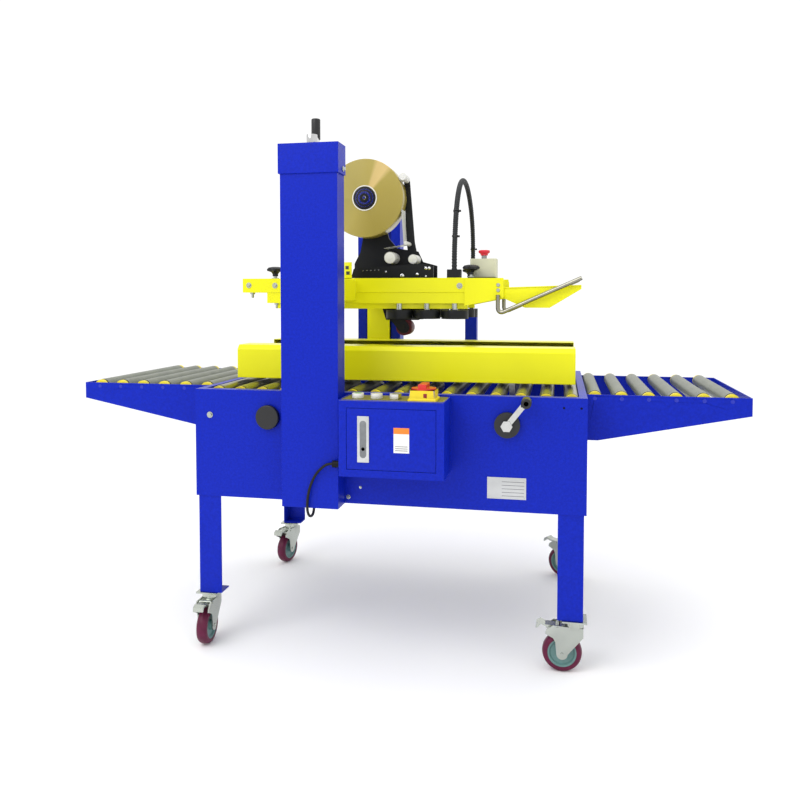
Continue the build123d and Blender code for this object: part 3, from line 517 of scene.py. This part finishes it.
# Screws and cranks: ground steel screws, a chromed crank arm with a black grip on top of the
# front column, and the width crank on the front panel with its black boss and knob.
screw_steel = finish("screw_steel", (0.5, 0.5, 0.5), 0.25, 1.0, relief=(250, 0.4), shade=(40, 0.3))
for node in ("front_lift_screw", "rear_lift_screw"):
    dress(node, screw_steel)
crank_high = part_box("lift_crank")[1]
grip_bottom = crank_high.z - 0.056
crank_finish = finish(
    "crank_finish",
    (0.6, 0.6, 0.6),
    0.18,
    1.0,
    zones=[((None, None, grip_bottom), (None, None, crank_high.z + 0.001), black, 0.35, 0)],
    relief=(300, 0.05),
    shade=(60, 0.15),
)
dress("lift_crank", crank_finish)
edged("lift_crank", 0.6 * millimetre)
width_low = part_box("width_crank")[0]
panel_y = centre_y - 0.360
arm_angle = radians(52)
width_arm = 0.080
knob_x = 0.325 + width_arm * cos(arm_angle)
knob_z = 0.630 + width_arm * sin(arm_angle)
width_finish = finish(
    "width_crank_finish",
    (0.62, 0.62, 0.61),
    0.18,
    1.0,
    zones=[
        ((None, panel_y - 0.0145, None), (None, panel_y - 0.0015, None), black, 0.4, 0),
        (
            (knob_x - 0.0145, width_low.y - 0.001, knob_z - 0.0145),
            (knob_x + 0.0145, panel_y - 0.0268, knob_z + 0.0145),
            black,
            0.3,
            0,
        ),
    ],
    relief=(300, 0.05),
    shade=(60, 0.15),
)
dress("width_crank", width_finish)
edged("width_crank", 0.6 * millimetre)
boss_finish = finish(
    "boss_finish",
    (0.5, 0.5, 0.5),
    0.25,
    1.0,
    zones=[((None, panel_y - 0.0150, None), (None, panel_y - 0.0015, None), black, 0.45, 0)],
    relief=(300, 0.1),
    shade=(60, 0.2),
)
dress("second_width_screw", boss_finish)

# Knob of the width crank: a black plastic grip that turns on a spindle.
# The spindle's white nylon end shows in the middle of the grip.
nylon = finish("white_nylon", (0.72, 0.72, 0.68), 0.4, relief=(400, 0.05), shade=(50, 0.08))
shape = bmesh.new()
turn_up(
    shape,
    [(0, 0), (0.0060, 0), (0.0060, 0.0025), (0.0050, 0.0035), (0, 0.0035)],
    (knob_x, width_low.y, knob_z),
    (0, 1, 0),
    steps=24,
)
piece_of(shape, "knob_spindle_end", "width_crank", "zinc_plate", nylon)

# Control box: a blue cabinet with an olive console plate sunk between its rims.
# The black strain relief of the cable is on its left side.
console_top = 0.6965
box_finish = finish(
    "control_box_finish",
    blue,
    0.3,
    zones=[
        ((-0.0815, None, 0.6960), (0.1786, None, 0.6967), (0.24, 0.22, 0.06), 0.45, 0.2),
        ((-0.1200, None, 0.5000), (-0.0846, None, 0.5600), black, 0.45, 0),
    ],
    relief=(420, 0.3),
    shade=(170, 0.22),
    gloss=0.13,
)
dress("control_box", box_finish)
edged("control_box", 1.0 * millimetre)

# Push buttons: moulded plastic caps, green, white and black.
# They stand in bright bezels on the console plate and spring back when let go.
button_colours = ((0.02, 0.30, 0.06), (0.62, 0.62, 0.60), (0.02, 0.02, 0.022))
for number, colour in enumerate(button_colours, start=1):
    cap = finish(f"button_cap_{number}", colour, 0.25, relief=(400, 0.03), shade=(60, 0.1))
    dress(f"push_button_{number}", cap)
    edged(f"push_button_{number}", 0.5 * millimetre)

# Rotary switch: a moulded yellow base that flares towards the console, screwed down on it.
# On top turns a red disc with its handle, and a dark red slot is in the base's front.
switch_x = 0.123
switch_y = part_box("switch_knob")[0].y * 0.5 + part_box("switch_knob")[1].y * 0.5
base_top = 0.7225
shape = bmesh.new()
base_layers = (
    (0.0355, console_top),
    (0.0350, console_top + 0.004),
    (0.0321, console_top + 0.007),
    (0.0314, base_top),
)
rings = []
for half, height in base_layers:
    corners = [(-half, -half), (half, -half), (half, half), (-half, half)]
    rings.append([shape.verts.new((switch_x + x, switch_y + y, height)) for x, y in corners])
for lower, upper in zip(rings, rings[1:]):
    for first in range(4):
        second = (first + 1) % 4
        shape.faces.new((lower[first], lower[second], upper[second], upper[first]))
shape.faces.new(rings[-1])
shape.faces.new(list(reversed(rings[0])))
upright = [line for line in shape.edges if abs(line.verts[0].co.z - line.verts[1].co.z) > 1e-5]
bmesh.ops.bevel(
    shape,
    geom=upright,
    offset=0.004,
    offset_type="OFFSET",
    affect="EDGES",
    segments=4,
    profile=0.5,
    material=-1,
)
switch_plastic = finish("switch_plastic", (0.80, 0.62, 0.01), 0.35, relief=(400, 0.05), shade=(40, 0.06))
piece_of(shape, "switch_base_cover", "root", "yellow_paint", switch_plastic)
slot_red = finish("switch_slot_red", (0.25, 0.006, 0.008), 0.45, relief=(300, 0.03), shade=(40, 0.1))
shape = bmesh.new()
slab(
    shape,
    (switch_x + 0.004, switch_y - 0.0322, console_top + 0.0075),
    (switch_x + 0.013, switch_y - 0.0310, console_top + 0.0190),
    0.0002,
)
piece_of(shape, "switch_slot", "root", "red_plastic", slot_red)
red_plastic = finish("red_plastic", (0.62, 0.02, 0.015), 0.3, relief=(400, 0.04), shade=(60, 0.1))
dress("switch_knob", red_plastic)
edged("switch_knob", 0.8 * millimetre)

# Door of the control box: a flat blue steel sheet, hinged on its infeed side.
# A long silver swing latch with a sunk slot and a key holds it shut.
door_low, door_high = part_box("control_door")
front = door_low.y
shape = bmesh.new()
slab(shape, (door_low.x, front + 0.003, door_low.z), door_high, 0.0009)
door_piece = piece_of(shape, "door_sheet", "control_door", "blue_paint", blue_paint)
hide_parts("control_door")
latch_silver = finish("latch_silver", (0.60, 0.61, 0.61), 0.3, 0.85, relief=(350, 0.08), shade=(50, 0.15))
latch_dark = finish("latch_slot", (0.22, 0.23, 0.24), 0.45, 0.6, relief=(350, 0.1), shade=(50, 0.2))
latch_x = door_low.x + 0.028 + 0.015
latch_z = (door_low.z + door_high.z) / 2
shape = bmesh.new()
slab(
    shape,
    (latch_x - 0.015, front + 0.0002, latch_z - 0.0575),
    (latch_x + 0.015, front + 0.0034, latch_z + 0.0575),
    0.0008,
)
piece_of(shape, "latch_plate", "control_door", "zinc_plate", latch_silver)
shape = bmesh.new()
slot_outline = []
for step in range(24):
    angle = 2 * pi * step / 24
    middle = 0.038 if sin(angle) > 0 else -0.038
    slot_outline.append((latch_x + 0.0085 * cos(angle), front, latch_z + middle + 0.0085 * sin(angle)))
cut_plate(shape, slot_outline, (0, 0.0006, 0), 0.0001)
piece_of(shape, "latch_slot", "control_door", "zinc_plate", latch_dark)
shape = bmesh.new()
turn_up(
    shape,
    [(0, -0.0001), (0.0045, -0.0001), (0.0045, 0.0008), (0, 0.0008)],
    (latch_x, front + 0.0001, latch_z - 0.024),
    (0, 1, 0),
    steps=24,
)
piece_of(shape, "latch_key", "control_door", "zinc_plate", latch_silver)

# Label on the door: a plain white printed card, stuck on the sheet.
# It has an orange band along its top and three grey rules below.
orange = (0.85, 0.22, 0.02)
label_low = (0.056, front + 0.0026, 0.570)
label_high = (0.095, front + 0.0032, 0.632)
rules = [
    ((0.060, None, 0.575 + 0.005 * row), (0.091, None, 0.577 + 0.005 * row), (0.25, 0.25, 0.25), 0.4, 0)
    for row in range(3)
]
label_card = finish(
    "label_card",
    (0.80, 0.80, 0.78),
    0.35,
    zones=[((None, None, 0.617), (None, None, 0.64), orange, 0.35, 0), *rules],
    relief=(300, 0.02),
    shade=(40, 0.05),
)
shape = bmesh.new()
slab(shape, label_low, label_high, 0.0002)
piece_of(shape, "door_label", "control_door", "yellow_paint", label_card)

# Name plate on the front panel: a thin printed aluminium plate with blank rows.
# Four small rivets hold it at its corners.
plate_x, plate_z = 0.324, 0.468
plate_rules = [
    (
        (plate_x - 0.012, None, plate_z - 0.020 + 0.009 * row),
        (plate_x + 0.044, None, plate_z - 0.0188 + 0.009 * row),
        (0.1, 0.1, 0.12),
        0.4,
        0,
    )
    for row in range(5)
]
plate_print = finish(
    "name_plate_print", (0.55, 0.56, 0.56), 0.35, 0.5, zones=plate_rules, relief=(500, 0.03), shade=(30, 0.1)
)
shape = bmesh.new()
slab(
    shape,
    (plate_x - 0.049, panel_y - 0.0008, plate_z - 0.0275),
    (plate_x + 0.049, panel_y + 0.0002, plate_z + 0.0275),
    0.0003,
)
for dx in (-0.045, 0.045):
    for dz in (-0.0235, 0.0235):
        turn_up(
            shape,
            [(0, -0.0018), (0.0012, -0.0016), (0.0018, -0.0008), (0.0018, 0.0002), (0, 0.0002)],
            (plate_x + dx, panel_y, plate_z + dz),
            (0, 1, 0),
            steps=16,
        )
piece_of(shape, "name_plate", "root", "zinc_plate", plate_print)

# Tape head: black painted steel plates with white nylon guide rollers between them.
# The sprung applying arm under it carries a dark red rubber roller.
roller_y = (centre_y - 0.0325, centre_y + 0.0338)
plate_black = (0.007, 0.008, 0.010)
tape_head_finish = finish(
    "tape_head_finish",
    plate_black,
    0.38,
    zones=[((None, roller_y[0], None), (None, roller_y[1], None), (0.62, 0.62, 0.58), 0.35, 0)],
    relief=(350, 0.2),
    shade=(30, 0.3),
    gloss=0.25,
)
dress("tape_head_frame", tape_head_finish)
edged("tape_head_frame", 0.8 * millimetre)
rubber_red = (0.16, 0.02, 0.03)
rubber_zone = ((-0.034, centre_y - 0.0265, 0.83), (0.020, centre_y + 0.0265, 0.8850), rubber_red, 0.4, 0)
arm_finish = finish(
    "applying_arm_finish",
    plate_black,
    0.38,
    zones=[rubber_zone],
    relief=(350, 0.2),
    shade=(30, 0.3),
    gloss=0.25,
)
dress("applying_arm", arm_finish)
edged("applying_arm", 0.8 * millimetre)
dress("lower_tape_head", tape_head_finish)

# Tape roll: clear amber tape wound on a white card core, which slips over the hub.
# The hub is black plastic with chromed rings, and a chromed nut holds it on its spindle.
roll_x, roll_z = -0.128, 1.249
roll_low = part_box("tape_roll")[0]
amber = bpy.data.materials.new("wound_tape")
amber.use_nodes = True
tree = amber.node_tree
shader = tree.nodes["Principled BSDF"]
shader.inputs["Roughness"].default_value = 0.3
shader.inputs["Coat Weight"].default_value = 0.4
shader.inputs["Coat Roughness"].default_value = 0.15
centred = tree.nodes.new("ShaderNodeMapping")
centred.inputs["Location"].default_value = (-roll_x, -centre_y, -roll_z)
coords = tree.nodes.new("ShaderNodeTexCoord")
tree.links.new(coords.outputs["Object"], centred.inputs["Vector"])
split = tree.nodes.new("ShaderNodeSeparateXYZ")
tree.links.new(centred.outputs[0], split.inputs[0])
turn = tree.nodes.new("ShaderNodeMath")
turn.operation = "ARCTAN2"
tree.links.new(split.outputs[2], turn.inputs[0])
tree.links.new(split.outputs[0], turn.inputs[1])
# Colour round the roll: the amber tone varies a little with the angle. The bright stops from 0.645 to 0.69
# are a painted highlight, a lighter wedge towards the upper right of the roll.
tone_and_painted_highlight = tree.nodes.new("ShaderNodeValToRGB")
tone_and_painted_highlight.color_ramp.elements[0].position = 0.0
tone_and_painted_highlight.color_ramp.elements[0].color = (0.345, 0.285, 0.060, 1)
tone_and_painted_highlight.color_ramp.elements[1].position = 1.0
tone_and_painted_highlight.color_ramp.elements[1].color = (0.365, 0.300, 0.070, 1)
for position, tone in (
    (0.16, (0.40, 0.32, 0.06)),
    (0.30, (0.33, 0.26, 0.04)),
    (0.62, (0.37, 0.29, 0.045)),
    (0.645, (0.62, 0.45, 0.16)),
    (0.69, (0.58, 0.42, 0.14)),
    (0.71, (0.38, 0.30, 0.05)),
    (0.85, (0.34, 0.27, 0.04)),
):
    stop = tone_and_painted_highlight.color_ramp.elements.new(position)
    stop.color = (*tone, 1)
around = tree.nodes.new("ShaderNodeMapRange")
around.inputs["From Min"].default_value = -pi
around.inputs["From Max"].default_value = pi
tree.links.new(turn.outputs[0], around.inputs["Value"])
tree.links.new(around.outputs[0], tone_and_painted_highlight.inputs["Fac"])
tree.links.new(tone_and_painted_highlight.outputs["Color"], shader.inputs["Base Color"])
windings = tree.nodes.new("ShaderNodeTexWave")
windings.wave_type = "RINGS"
windings.rings_direction = "Y"
windings.inputs["Scale"].default_value = 160
windings.inputs["Distortion"].default_value = 1.5
tree.links.new(centred.outputs[0], windings.inputs["Vector"])
winding_bump = tree.nodes.new("ShaderNodeBump")
winding_bump.inputs["Strength"].default_value = 0.15
winding_bump.inputs["Distance"].default_value = millimetre
tree.links.new(windings.outputs["Fac"], winding_bump.inputs["Height"])
tree.links.new(winding_bump.outputs[0], shader.inputs["Normal"])
dress("tape_roll", amber)
edged("tape_roll", 1.5 * millimetre)
card = finish("core_card", (0.78, 0.76, 0.68), 0.6, relief=(300, 0.1), shade=(40, 0.1))
hub_black = finish("hub_black", (0.012, 0.012, 0.014), 0.3, relief=(300, 0.1), shade=(40, 0.2), gloss=0.3)
chrome = finish("chrome", (0.75, 0.75, 0.75), 0.12, 1.0, relief=(300, 0.04), shade=(40, 0.1))
shape = bmesh.new()
turn_up(
    shape,
    [(0.0350, 0), (0.0350, -0.0016), (0.0382, -0.0016), (0.0382, 0), (0.0350, 0)],
    (roll_x, roll_low.y, roll_z),
    (0, 1, 0),
    steps=64,
)
piece_of(shape, "roll_core", "tape_roll", "packing_tape", card)
shape = bmesh.new()
turn_up(
    shape,
    [
        (0.0122, -0.0005),
        (0.0122, -0.004),
        (0.0330, -0.003),
        (0.0348, -0.001),
        (0.0348, -0.0002),
        (0.0122, -0.0005),
    ],
    (roll_x, roll_low.y, roll_z),
    (0, 1, 0),
    steps=64,
)
piece_of(shape, "roll_hub", "tape_roll", "black_plastic", hub_black)
shape = bmesh.new()
for inner, outer, height in ((0.0140, 0.0195, 0.0046), (0.0255, 0.0275, 0.0038)):
    turn_up(
        shape,
        [(inner, -0.0025), (inner, -height), (outer, -height), (outer, -0.0025), (inner, -0.0025)],
        (roll_x, roll_low.y, roll_z),
        (0, 1, 0),
        steps=48,
    )
piece_of(shape, "hub_rings", "tape_roll", "zinc_plate", chrome)
shape = bmesh.new()
nut_front = roll_low.y - 0.0055
turn_up(
    shape,
    [(0, -0.003), (0.005, -0.003), (0.006, -0.002), (0.006, 0), (0.0115, 0), (0.0115, 0.004), (0, 0.004)],
    (roll_x, nut_front, roll_z),
    (0, 1, 0),
    steps=6,
)
piece_of(shape, "spindle_nut", "head", "zinc_plate", chrome)

# Tape path: the strip of clear tape that leaves the roll.
# It runs over the top roller and down to the low ones, pulled taut.
strip_points = [(-0.0225, 1.3100), (-0.0088, 1.1120), (-0.0100, 1.1070), (-0.0700, 1.0975)]
strip_tape = finish("tape_strip", (0.80, 0.80, 0.74), 0.2, relief=(120, 0.1), shade=(30, 0.1))
shape = bmesh.new()
edge_points = [shape.verts.new((x, centre_y - 0.026, z)) for x, z in strip_points]
edge_lines = [shape.edges.new(pair) for pair in zip(edge_points, edge_points[1:])]
drawn = bmesh.ops.extrude_edge_only(shape, edges=edge_lines)["geom"]
far_edge = [item for item in drawn if isinstance(item, bmesh.types.BMVert)]
bmesh.ops.translate(shape, vec=(0, 0.052, 0), verts=far_edge)
bmesh.ops.solidify(shape, geom=shape.faces[:], thickness=0.0003)
piece_of(shape, "tape_strip", "head", "packing_tape", strip_tape)

# Guide rollers of the tape path: turned white nylon sleeves with a rounded rim.
# They turn freely on pins between the tape head's plates.
sleeves = (
    (-0.011, 1.310, 0.0112),
    (-0.050, 1.069, 0.0177),
    (0.020, 1.064, 0.0142),
    (-0.002, 1.112, 0.0062),
)
for number, (x, z, radius) in enumerate(sleeves, start=1):
    shape = bmesh.new()
    turn_up(
        shape,
        [
            (0, -0.0308),
            (radius * 0.35, -0.0308),
            (radius * 0.4, -0.0300),
            (radius * 0.85, -0.0302),
            (radius, -0.0290),
            (radius, 0.0310),
            (0, 0.0310),
        ],
        (x, centre_y, z),
        (0, 1, 0),
        steps=40,
    )
    piece_of(shape, f"guide_sleeve_{number}", "head", "cream_plastic", nylon)

# Screws of the tape head's front plate: chromed round heads.
# There is a row of five, a pair above the front edge and a few more.
shape = bmesh.new()
plate_front = centre_y - 0.040
screw_places = [(-0.130 + 0.012 * index, 1.030 + 0.0005 * index, 0.0018) for index in range(5)]
screw_places += [(0.062, 1.036, 0.0045), (0.072, 1.036, 0.0045)]
screw_places += [(0.036, 1.018, 0.0042), (-0.010, 1.014, 0.006)]
screw_places += [(0.062, 1.012, 0.003), (-0.045, 0.905, 0.005), (-0.060, 1.026, 0.003)]
for x, z, radius in screw_places:
    turn_up(
        shape,
        [(0, -0.0024), (radius * 0.6, -0.0022), (radius, -0.0012), (radius, 0.0004), (0, 0.0004)],
        (x, plate_front, z),
        (0, 1, 0),
        steps=20,
    )
piece_of(shape, "tape_head_screws", "head", "zinc_plate", chrome)

# Star knobs: moulded black plastic grips with five lobes, on zinc studs.
# They clamp the head's upper plates to its beams, two on each side.
knob_black = (0.012, 0.013, 0.014)
knob_plastic = finish("knob_plastic", knob_black, 0.33, relief=(400, 0.08), shade=(50, 0.2), gloss=0.3)
knob_places = [(-0.389, -0.095, 1.006), (0.201, -0.091, 1.008), (-0.389, 0.095, 1.006), (0.178, 0.095, 1.006)]
for number, (x, y, z) in enumerate(knob_places, start=1):
    place = Vector((x, centre_y + y, z))
    shape = bmesh.new()
    lobes = turn_up(
        shape,
        [
            (0, 0.036),
            (0.010, 0.0355),
            (0.019, 0.033),
            (0.0235, 0.028),
            (0.0225, 0.023),
            (0.012, 0.019),
            (0.0085, 0.014),
            (0.0085, 0.007),
            (0, 0.007),
        ],
        place,
        (0, 0, 1),
        steps=60,
    )
    for vertex in lobes:
        offset = vertex.co - place
        reach = (offset.x**2 + offset.y**2) ** 0.5
        if reach > 0.015:
            swell = 1 + 0.11 * cos(5 * atan2(offset.y, offset.x))
            vertex.co = place + Vector((offset.x * swell, offset.y * swell, offset.z))
    piece_of(shape, f"star_knob_{number}", "head", "black_plastic", knob_plastic)
    shape = bmesh.new()
    turn_up(
        shape,
        [(0, 0.0), (0.011, 0.0), (0.011, 0.002), (0.0055, 0.003), (0.0055, 0.0072), (0, 0.0072)],
        place,
        (0, 0, 1),
        steps=24,
    )
    piece_of(shape, f"knob_stud_{number}", "head", "zinc_plate", zinc)

# Bolts in the faces of the beams and of the slanted brackets.
# Zinc-plated steel with domed heads, each on its washer.
beam_face = 0.110
shape = bmesh.new()
for side in (-1, 1):
    for x, z in ((-0.468, 0.986), (-0.385, 0.985), (0.171, 0.983), (0.281, 0.985), (0.281, 0.970)):
        turn_up(
            shape,
            [
                (0, 0.0055),
                (0.0045, 0.0053),
                (0.0055, 0.0042),
                (0.0055, 0.0012),
                (0.0085, 0.0010),
                (0.0085, -0.0004),
                (0, -0.0004),
            ],
            (x, centre_y + side * beam_face, z),
            (0, side, 0),
            steps=24,
        )
piece_of(shape, "beam_bolts", "head", "zinc_plate", zinc)

# Bolt ends that come out under the outfeed ends of the beams.
# Zinc-plated studs, each with a nut drawn up against the beam.
shape = bmesh.new()
for side in (-1, 1):
    for x in (-0.462, -0.385):
        turn_up(
            shape,
            [
                (0, -0.016),
                (0.003, -0.0155),
                (0.004, -0.014),
                (0.004, -0.005),
                (0.0075, -0.005),
                (0.0075, 0),
                (0, 0),
            ],
            (x, centre_y + side * 0.095, 0.964 if x < -0.411 else 0.9325),
            (0, 0, 1),
            steps=12,
        )
piece_of(shape, "beam_bolt_ends", "head", "zinc_plate", zinc)

# Small yellow marker plate that stands on the front beam beside the column.
# A thin painted steel tab with two black squares printed on it.
shape = bmesh.new()
slab(shape, (-0.172, centre_y - beam_face, 1.004), (-0.147, centre_y - beam_face + 0.002, 1.053), 0.0004)
marker_plate = finish(
    "marker_plate",
    yellow,
    0.35,
    zones=[
        ((-0.166, None, 1.032), (-0.156, None, 1.042), (0.05, 0.05, 0.05), 0.4, 0),
        ((-0.164, None, 1.016), (-0.153, None, 1.026), (0.05, 0.05, 0.05), 0.4, 0),
    ],
    relief=(200, 0.02),
    shade=(20, 0.05),
)
piece_of(shape, "marker_plate", "head", "yellow_paint", marker_plate)

# Press wheels under the beams: solid black rubber rollers.
# Zinc bolts hold them under the beams, and they hold the carton's top down.
wheel_black = finish(
    "press_wheel_black",
    plate_black,
    0.4,
    zones=[((None, None, 0.9132), (None, None, 0.92), (0.6, 0.6, 0.6), 0.25, 1)],
    relief=(350, 0.15),
    shade=(30, 0.25),
    gloss=0.25,
)
dress("press_wheels", wheel_black)
edged("press_wheels", 2.0 * millimetre)
shape = bmesh.new()
for side in (-1, 1):
    for index in range(3):
        turn_up(
            shape,
            [(0, 0), (0.0075, 0), (0.0085, 0.001), (0.0085, 0.0190), (0, 0.0190)],
            (-0.007 + index * 0.0812, centre_y + side * 0.0975, 0.9132),
            (0, 0, 1),
            steps=24,
        )
piece_of(shape, "press_wheel_bolts", "head", "zinc_plate", zinc)

# Flap guides at the infeed end: folded yellow steel wings with a hem along the top.
# Bent stainless rods outside them fold the carton's side flaps down.
wing_x = 0.296
wing_length = 0.217
flare = radians(10)
stainless = finish("stainless_rod", (0.33, 0.32, 0.26), 0.2, 1.0, relief=(300, 0.08), shade=(40, 0.2))
for side, place in ((-1, "front"), (1, "rear")):
    heading = Vector((cos(flare), side * sin(flare), 0))
    square = Vector((-side * sin(flare), cos(flare), 0)) * side
    start = Vector((wing_x, centre_y + side * 0.106, 0)) - square * 0.001
    bracket_y = (centre_y + side * 0.107, centre_y + side * beam_face)
    outline = [
        start + heading * along + Vector((0, 0, height))
        for along, height in (
            (-0.004, 0.978),
            (wing_length, 0.984),
            (wing_length, 0.973),
            (wing_length * 0.6, 0.921),
            (wing_length * 0.28, 0.921),
            (-0.004, 0.949),
        )
    ]
    shape = bmesh.new()
    cut_plate(shape, outline, square * 0.002, 0.0005)
    hem = [
        start + heading * along + Vector((0, 0, height))
        for along, height in (
            (-0.002, 0.9783),
            (wing_length, 0.9843),
            (wing_length, 0.9815),
            (-0.002, 0.9755),
        )
    ]
    cut_plate(shape, hem, square * 0.0045, 0.0004)
    slab(
        shape,
        (wing_x - 0.040, min(bracket_y), 0.9505),
        (wing_x + 0.002, max(bracket_y), 0.998),
        0.0005,
    )
    wing = piece_of(shape, f"flap_wing_{place}", "head", "yellow_paint", yellow_paint)
    if side == -1:
        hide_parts("flap_guides")
    rod_y = centre_y + side * 0.119
    tip_y = rod_y + side * 0.042
    rod_curve = bpy.data.curves.new(f"guide_rod_{place}", "CURVE")
    rod_curve.dimensions = "3D"
    rod_curve.bevel_depth = 0.006
    rod_curve.bevel_resolution = 5
    rod_curve.use_fill_caps = True
    rod_line = rod_curve.splines.new("BEZIER")
    rod_line.bezier_points.add(3)
    low = Vector((wing_x - 0.015, rod_y, 0.902))
    tip = Vector((wing_x + 0.214, tip_y, 1.003))
    away = (tip - low).normalized()
    for point, (spot, before, after) in zip(
        rod_line.bezier_points,
        (
            (Vector((low.x, low.y, 0.957)), Vector((0, 0, 0.01)), Vector((0, 0, -0.02))),
            (low + Vector((0, 0, 0.020)), Vector((0, 0, 0.02)), Vector((0, 0, -0.012))),
            (low + away * 0.020, away * -0.012, away * 0.02),
            (tip, away * -0.02, away * 0.01),
        ),
    ):
        point.co = spot
        point.handle_left = spot + before
        point.handle_right = spot + after
    rod_curve.materials.append(stainless)
    rod = bpy.data.objects.new(f"guide_rod_{place}", rod_curve)
    bpy.context.scene.collection.objects.link(rod)
    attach(rod, "head")

# Emergency stop: a cream moulded box screwed on a black steel bracket.
# A red plastic mushroom head stands on it, on a grey stem.
stop_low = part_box("estop_box")[0]
cream_finish = finish(
    "estop_box_finish",
    (0.60, 0.60, 0.42),
    0.4,
    zones=[((None, None, stop_low.z - 0.001), (None, None, stop_low.z + 0.0061), black, 0.45, 0)],
    relief=(300, 0.08),
    shade=(30, 0.06),
)
dress("estop_box", cream_finish)
edged("estop_box", 1.2 * millimetre)
button_low, button_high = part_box("estop_button")
stem_top = button_high.z - 0.0160
mushroom = finish(
    "estop_mushroom",
    (0.66, 0.015, 0.035),
    0.3,
    zones=[((None, None, 1.0), (None, None, stem_top), (0.3, 0.3, 0.3), 0.35, 0)],
    relief=(300, 0.03),
    shade=(30, 0.06),
)
shape = bmesh.new()
turn_up(
    shape,
    [
        (0, -0.0340),
        (0.0079, -0.0340),
        (0.0079, -0.0161),
        (0.0105, -0.0158),
        (0.0112, -0.0110),
        (0.0160, -0.0080),
        (0.0170, -0.0060),
        (0.0168, -0.0025),
        (0.0150, -0.0005),
        (0.0120, 0),
        (0, 0),
    ],
    ((button_low.x + button_high.x) / 2, (button_low.y + button_high.y) / 2, button_high.z),
    (0, 0, 1),
    steps=40,
)
mushroom_piece = piece_of(shape, "estop_mushroom", "estop_button", "red_plastic", mushroom)
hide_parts("estop_button")

# Belt units: black rubber belts round their pulleys, driven by motors under the covers.
# They stand on zinc-plated base plates whose nut posts run on the width screws.
belt_finish = finish(
    "belt_finish",
    (0.02, 0.02, 0.022),
    0.5,
    zones=[((None, None, 0.600), (None, None, 0.7201), (0.55, 0.55, 0.54), 0.3, 1)],
    relief=(160, 0.5),
    shade=(30, 0.2),
)
for node in ("front_belt_drive", "rear_belt_drive"):
    dress(node, belt_finish)

# Zinc hardware: caster plates, panel screws and the screws of the column caps.
# The bezels of the push buttons are brighter, satin chromed rings.
bezel_zone = ((-0.08, -0.46, console_top + 0.001), (0.06, -0.30, 0.75), (0.86, 0.86, 0.84), 0.3, 0.35)
fastener_finish = finish(
    "fastener_zinc", (0.50, 0.53, 0.48), 0.24, 1.0, zones=[bezel_zone], relief=(350, 0.12), shade=(14, 0.2)
)
dress("fasteners", fastener_finish)
edged("fasteners", 0.5 * millimetre)

# Rivet holes near the infeed end of the front panel.
# Two small drilled holes, drawn as thin dark discs on the paint: their dark colour is painted shade, standing
# in for the shade inside the holes.
painted_hole_shade = finish("painted_hole_shade", (0.004, 0.005, 0.02), 0.6, gloss=0.1)
shape = bmesh.new()
for x in (0.4646, 0.507):
    turn_up(
        shape,
        [(0, -0.0002), (0.0030, -0.0002), (0.0030, 0.0006), (0, 0.0006)],
        (x, panel_y, 0.676),
        (0, 1, 0),
        steps=20,
    )
piece_of(shape, "panel_holes", "root", "black_plastic", painted_hole_shade)

# Floor: a wide, matt, pale studio floor.
# The machine stands on it on its four casters.
floor_shape = bmesh.new()
bmesh.ops.create_grid(floor_shape, x_segments=1, y_segments=1, size=15)
floor_mesh = bpy.data.meshes.new("floor")
floor_shape.to_mesh(floor_mesh)
floor_shape.free()
floor_mesh.materials.append(finish("pale_floor", (0.98, 0.98, 0.98), 0.9, gloss=0.1))
floor = bpy.data.objects.new("floor", floor_mesh)
bpy.context.scene.collection.objects.link(floor)

# Studio light: a white surround that lights the machine evenly.
# A broad soft box hangs above it and another stands to the operator's left.
world = bpy.data.worlds.new("studio")
bpy.context.scene.world = world
world.use_nodes = True
world.node_tree.nodes["Background"].inputs["Color"].default_value = (1, 1, 1, 1)
world.node_tree.nodes["Background"].inputs["Strength"].default_value = 1.08
for name, place, target, size, power in (
    ("key_light", (-1.6, -2.6, 3.2), (0, 0, 0.8), 2.4, 55),
    ("top_light", (0.3, 0.2, 3.6), (0, 0, 0.6), 3.0, 20),
):
    light_data = bpy.data.lights.new(name, "AREA")
    light_data.size = size
    light_data.energy = power
    light = bpy.data.objects.new(name, light_data)
    light.location = place
    light.rotation_euler = (Vector(target) - Vector(place)).to_track_quat("-Z", "Y").to_euler()
    bpy.context.scene.collection.objects.link(light)
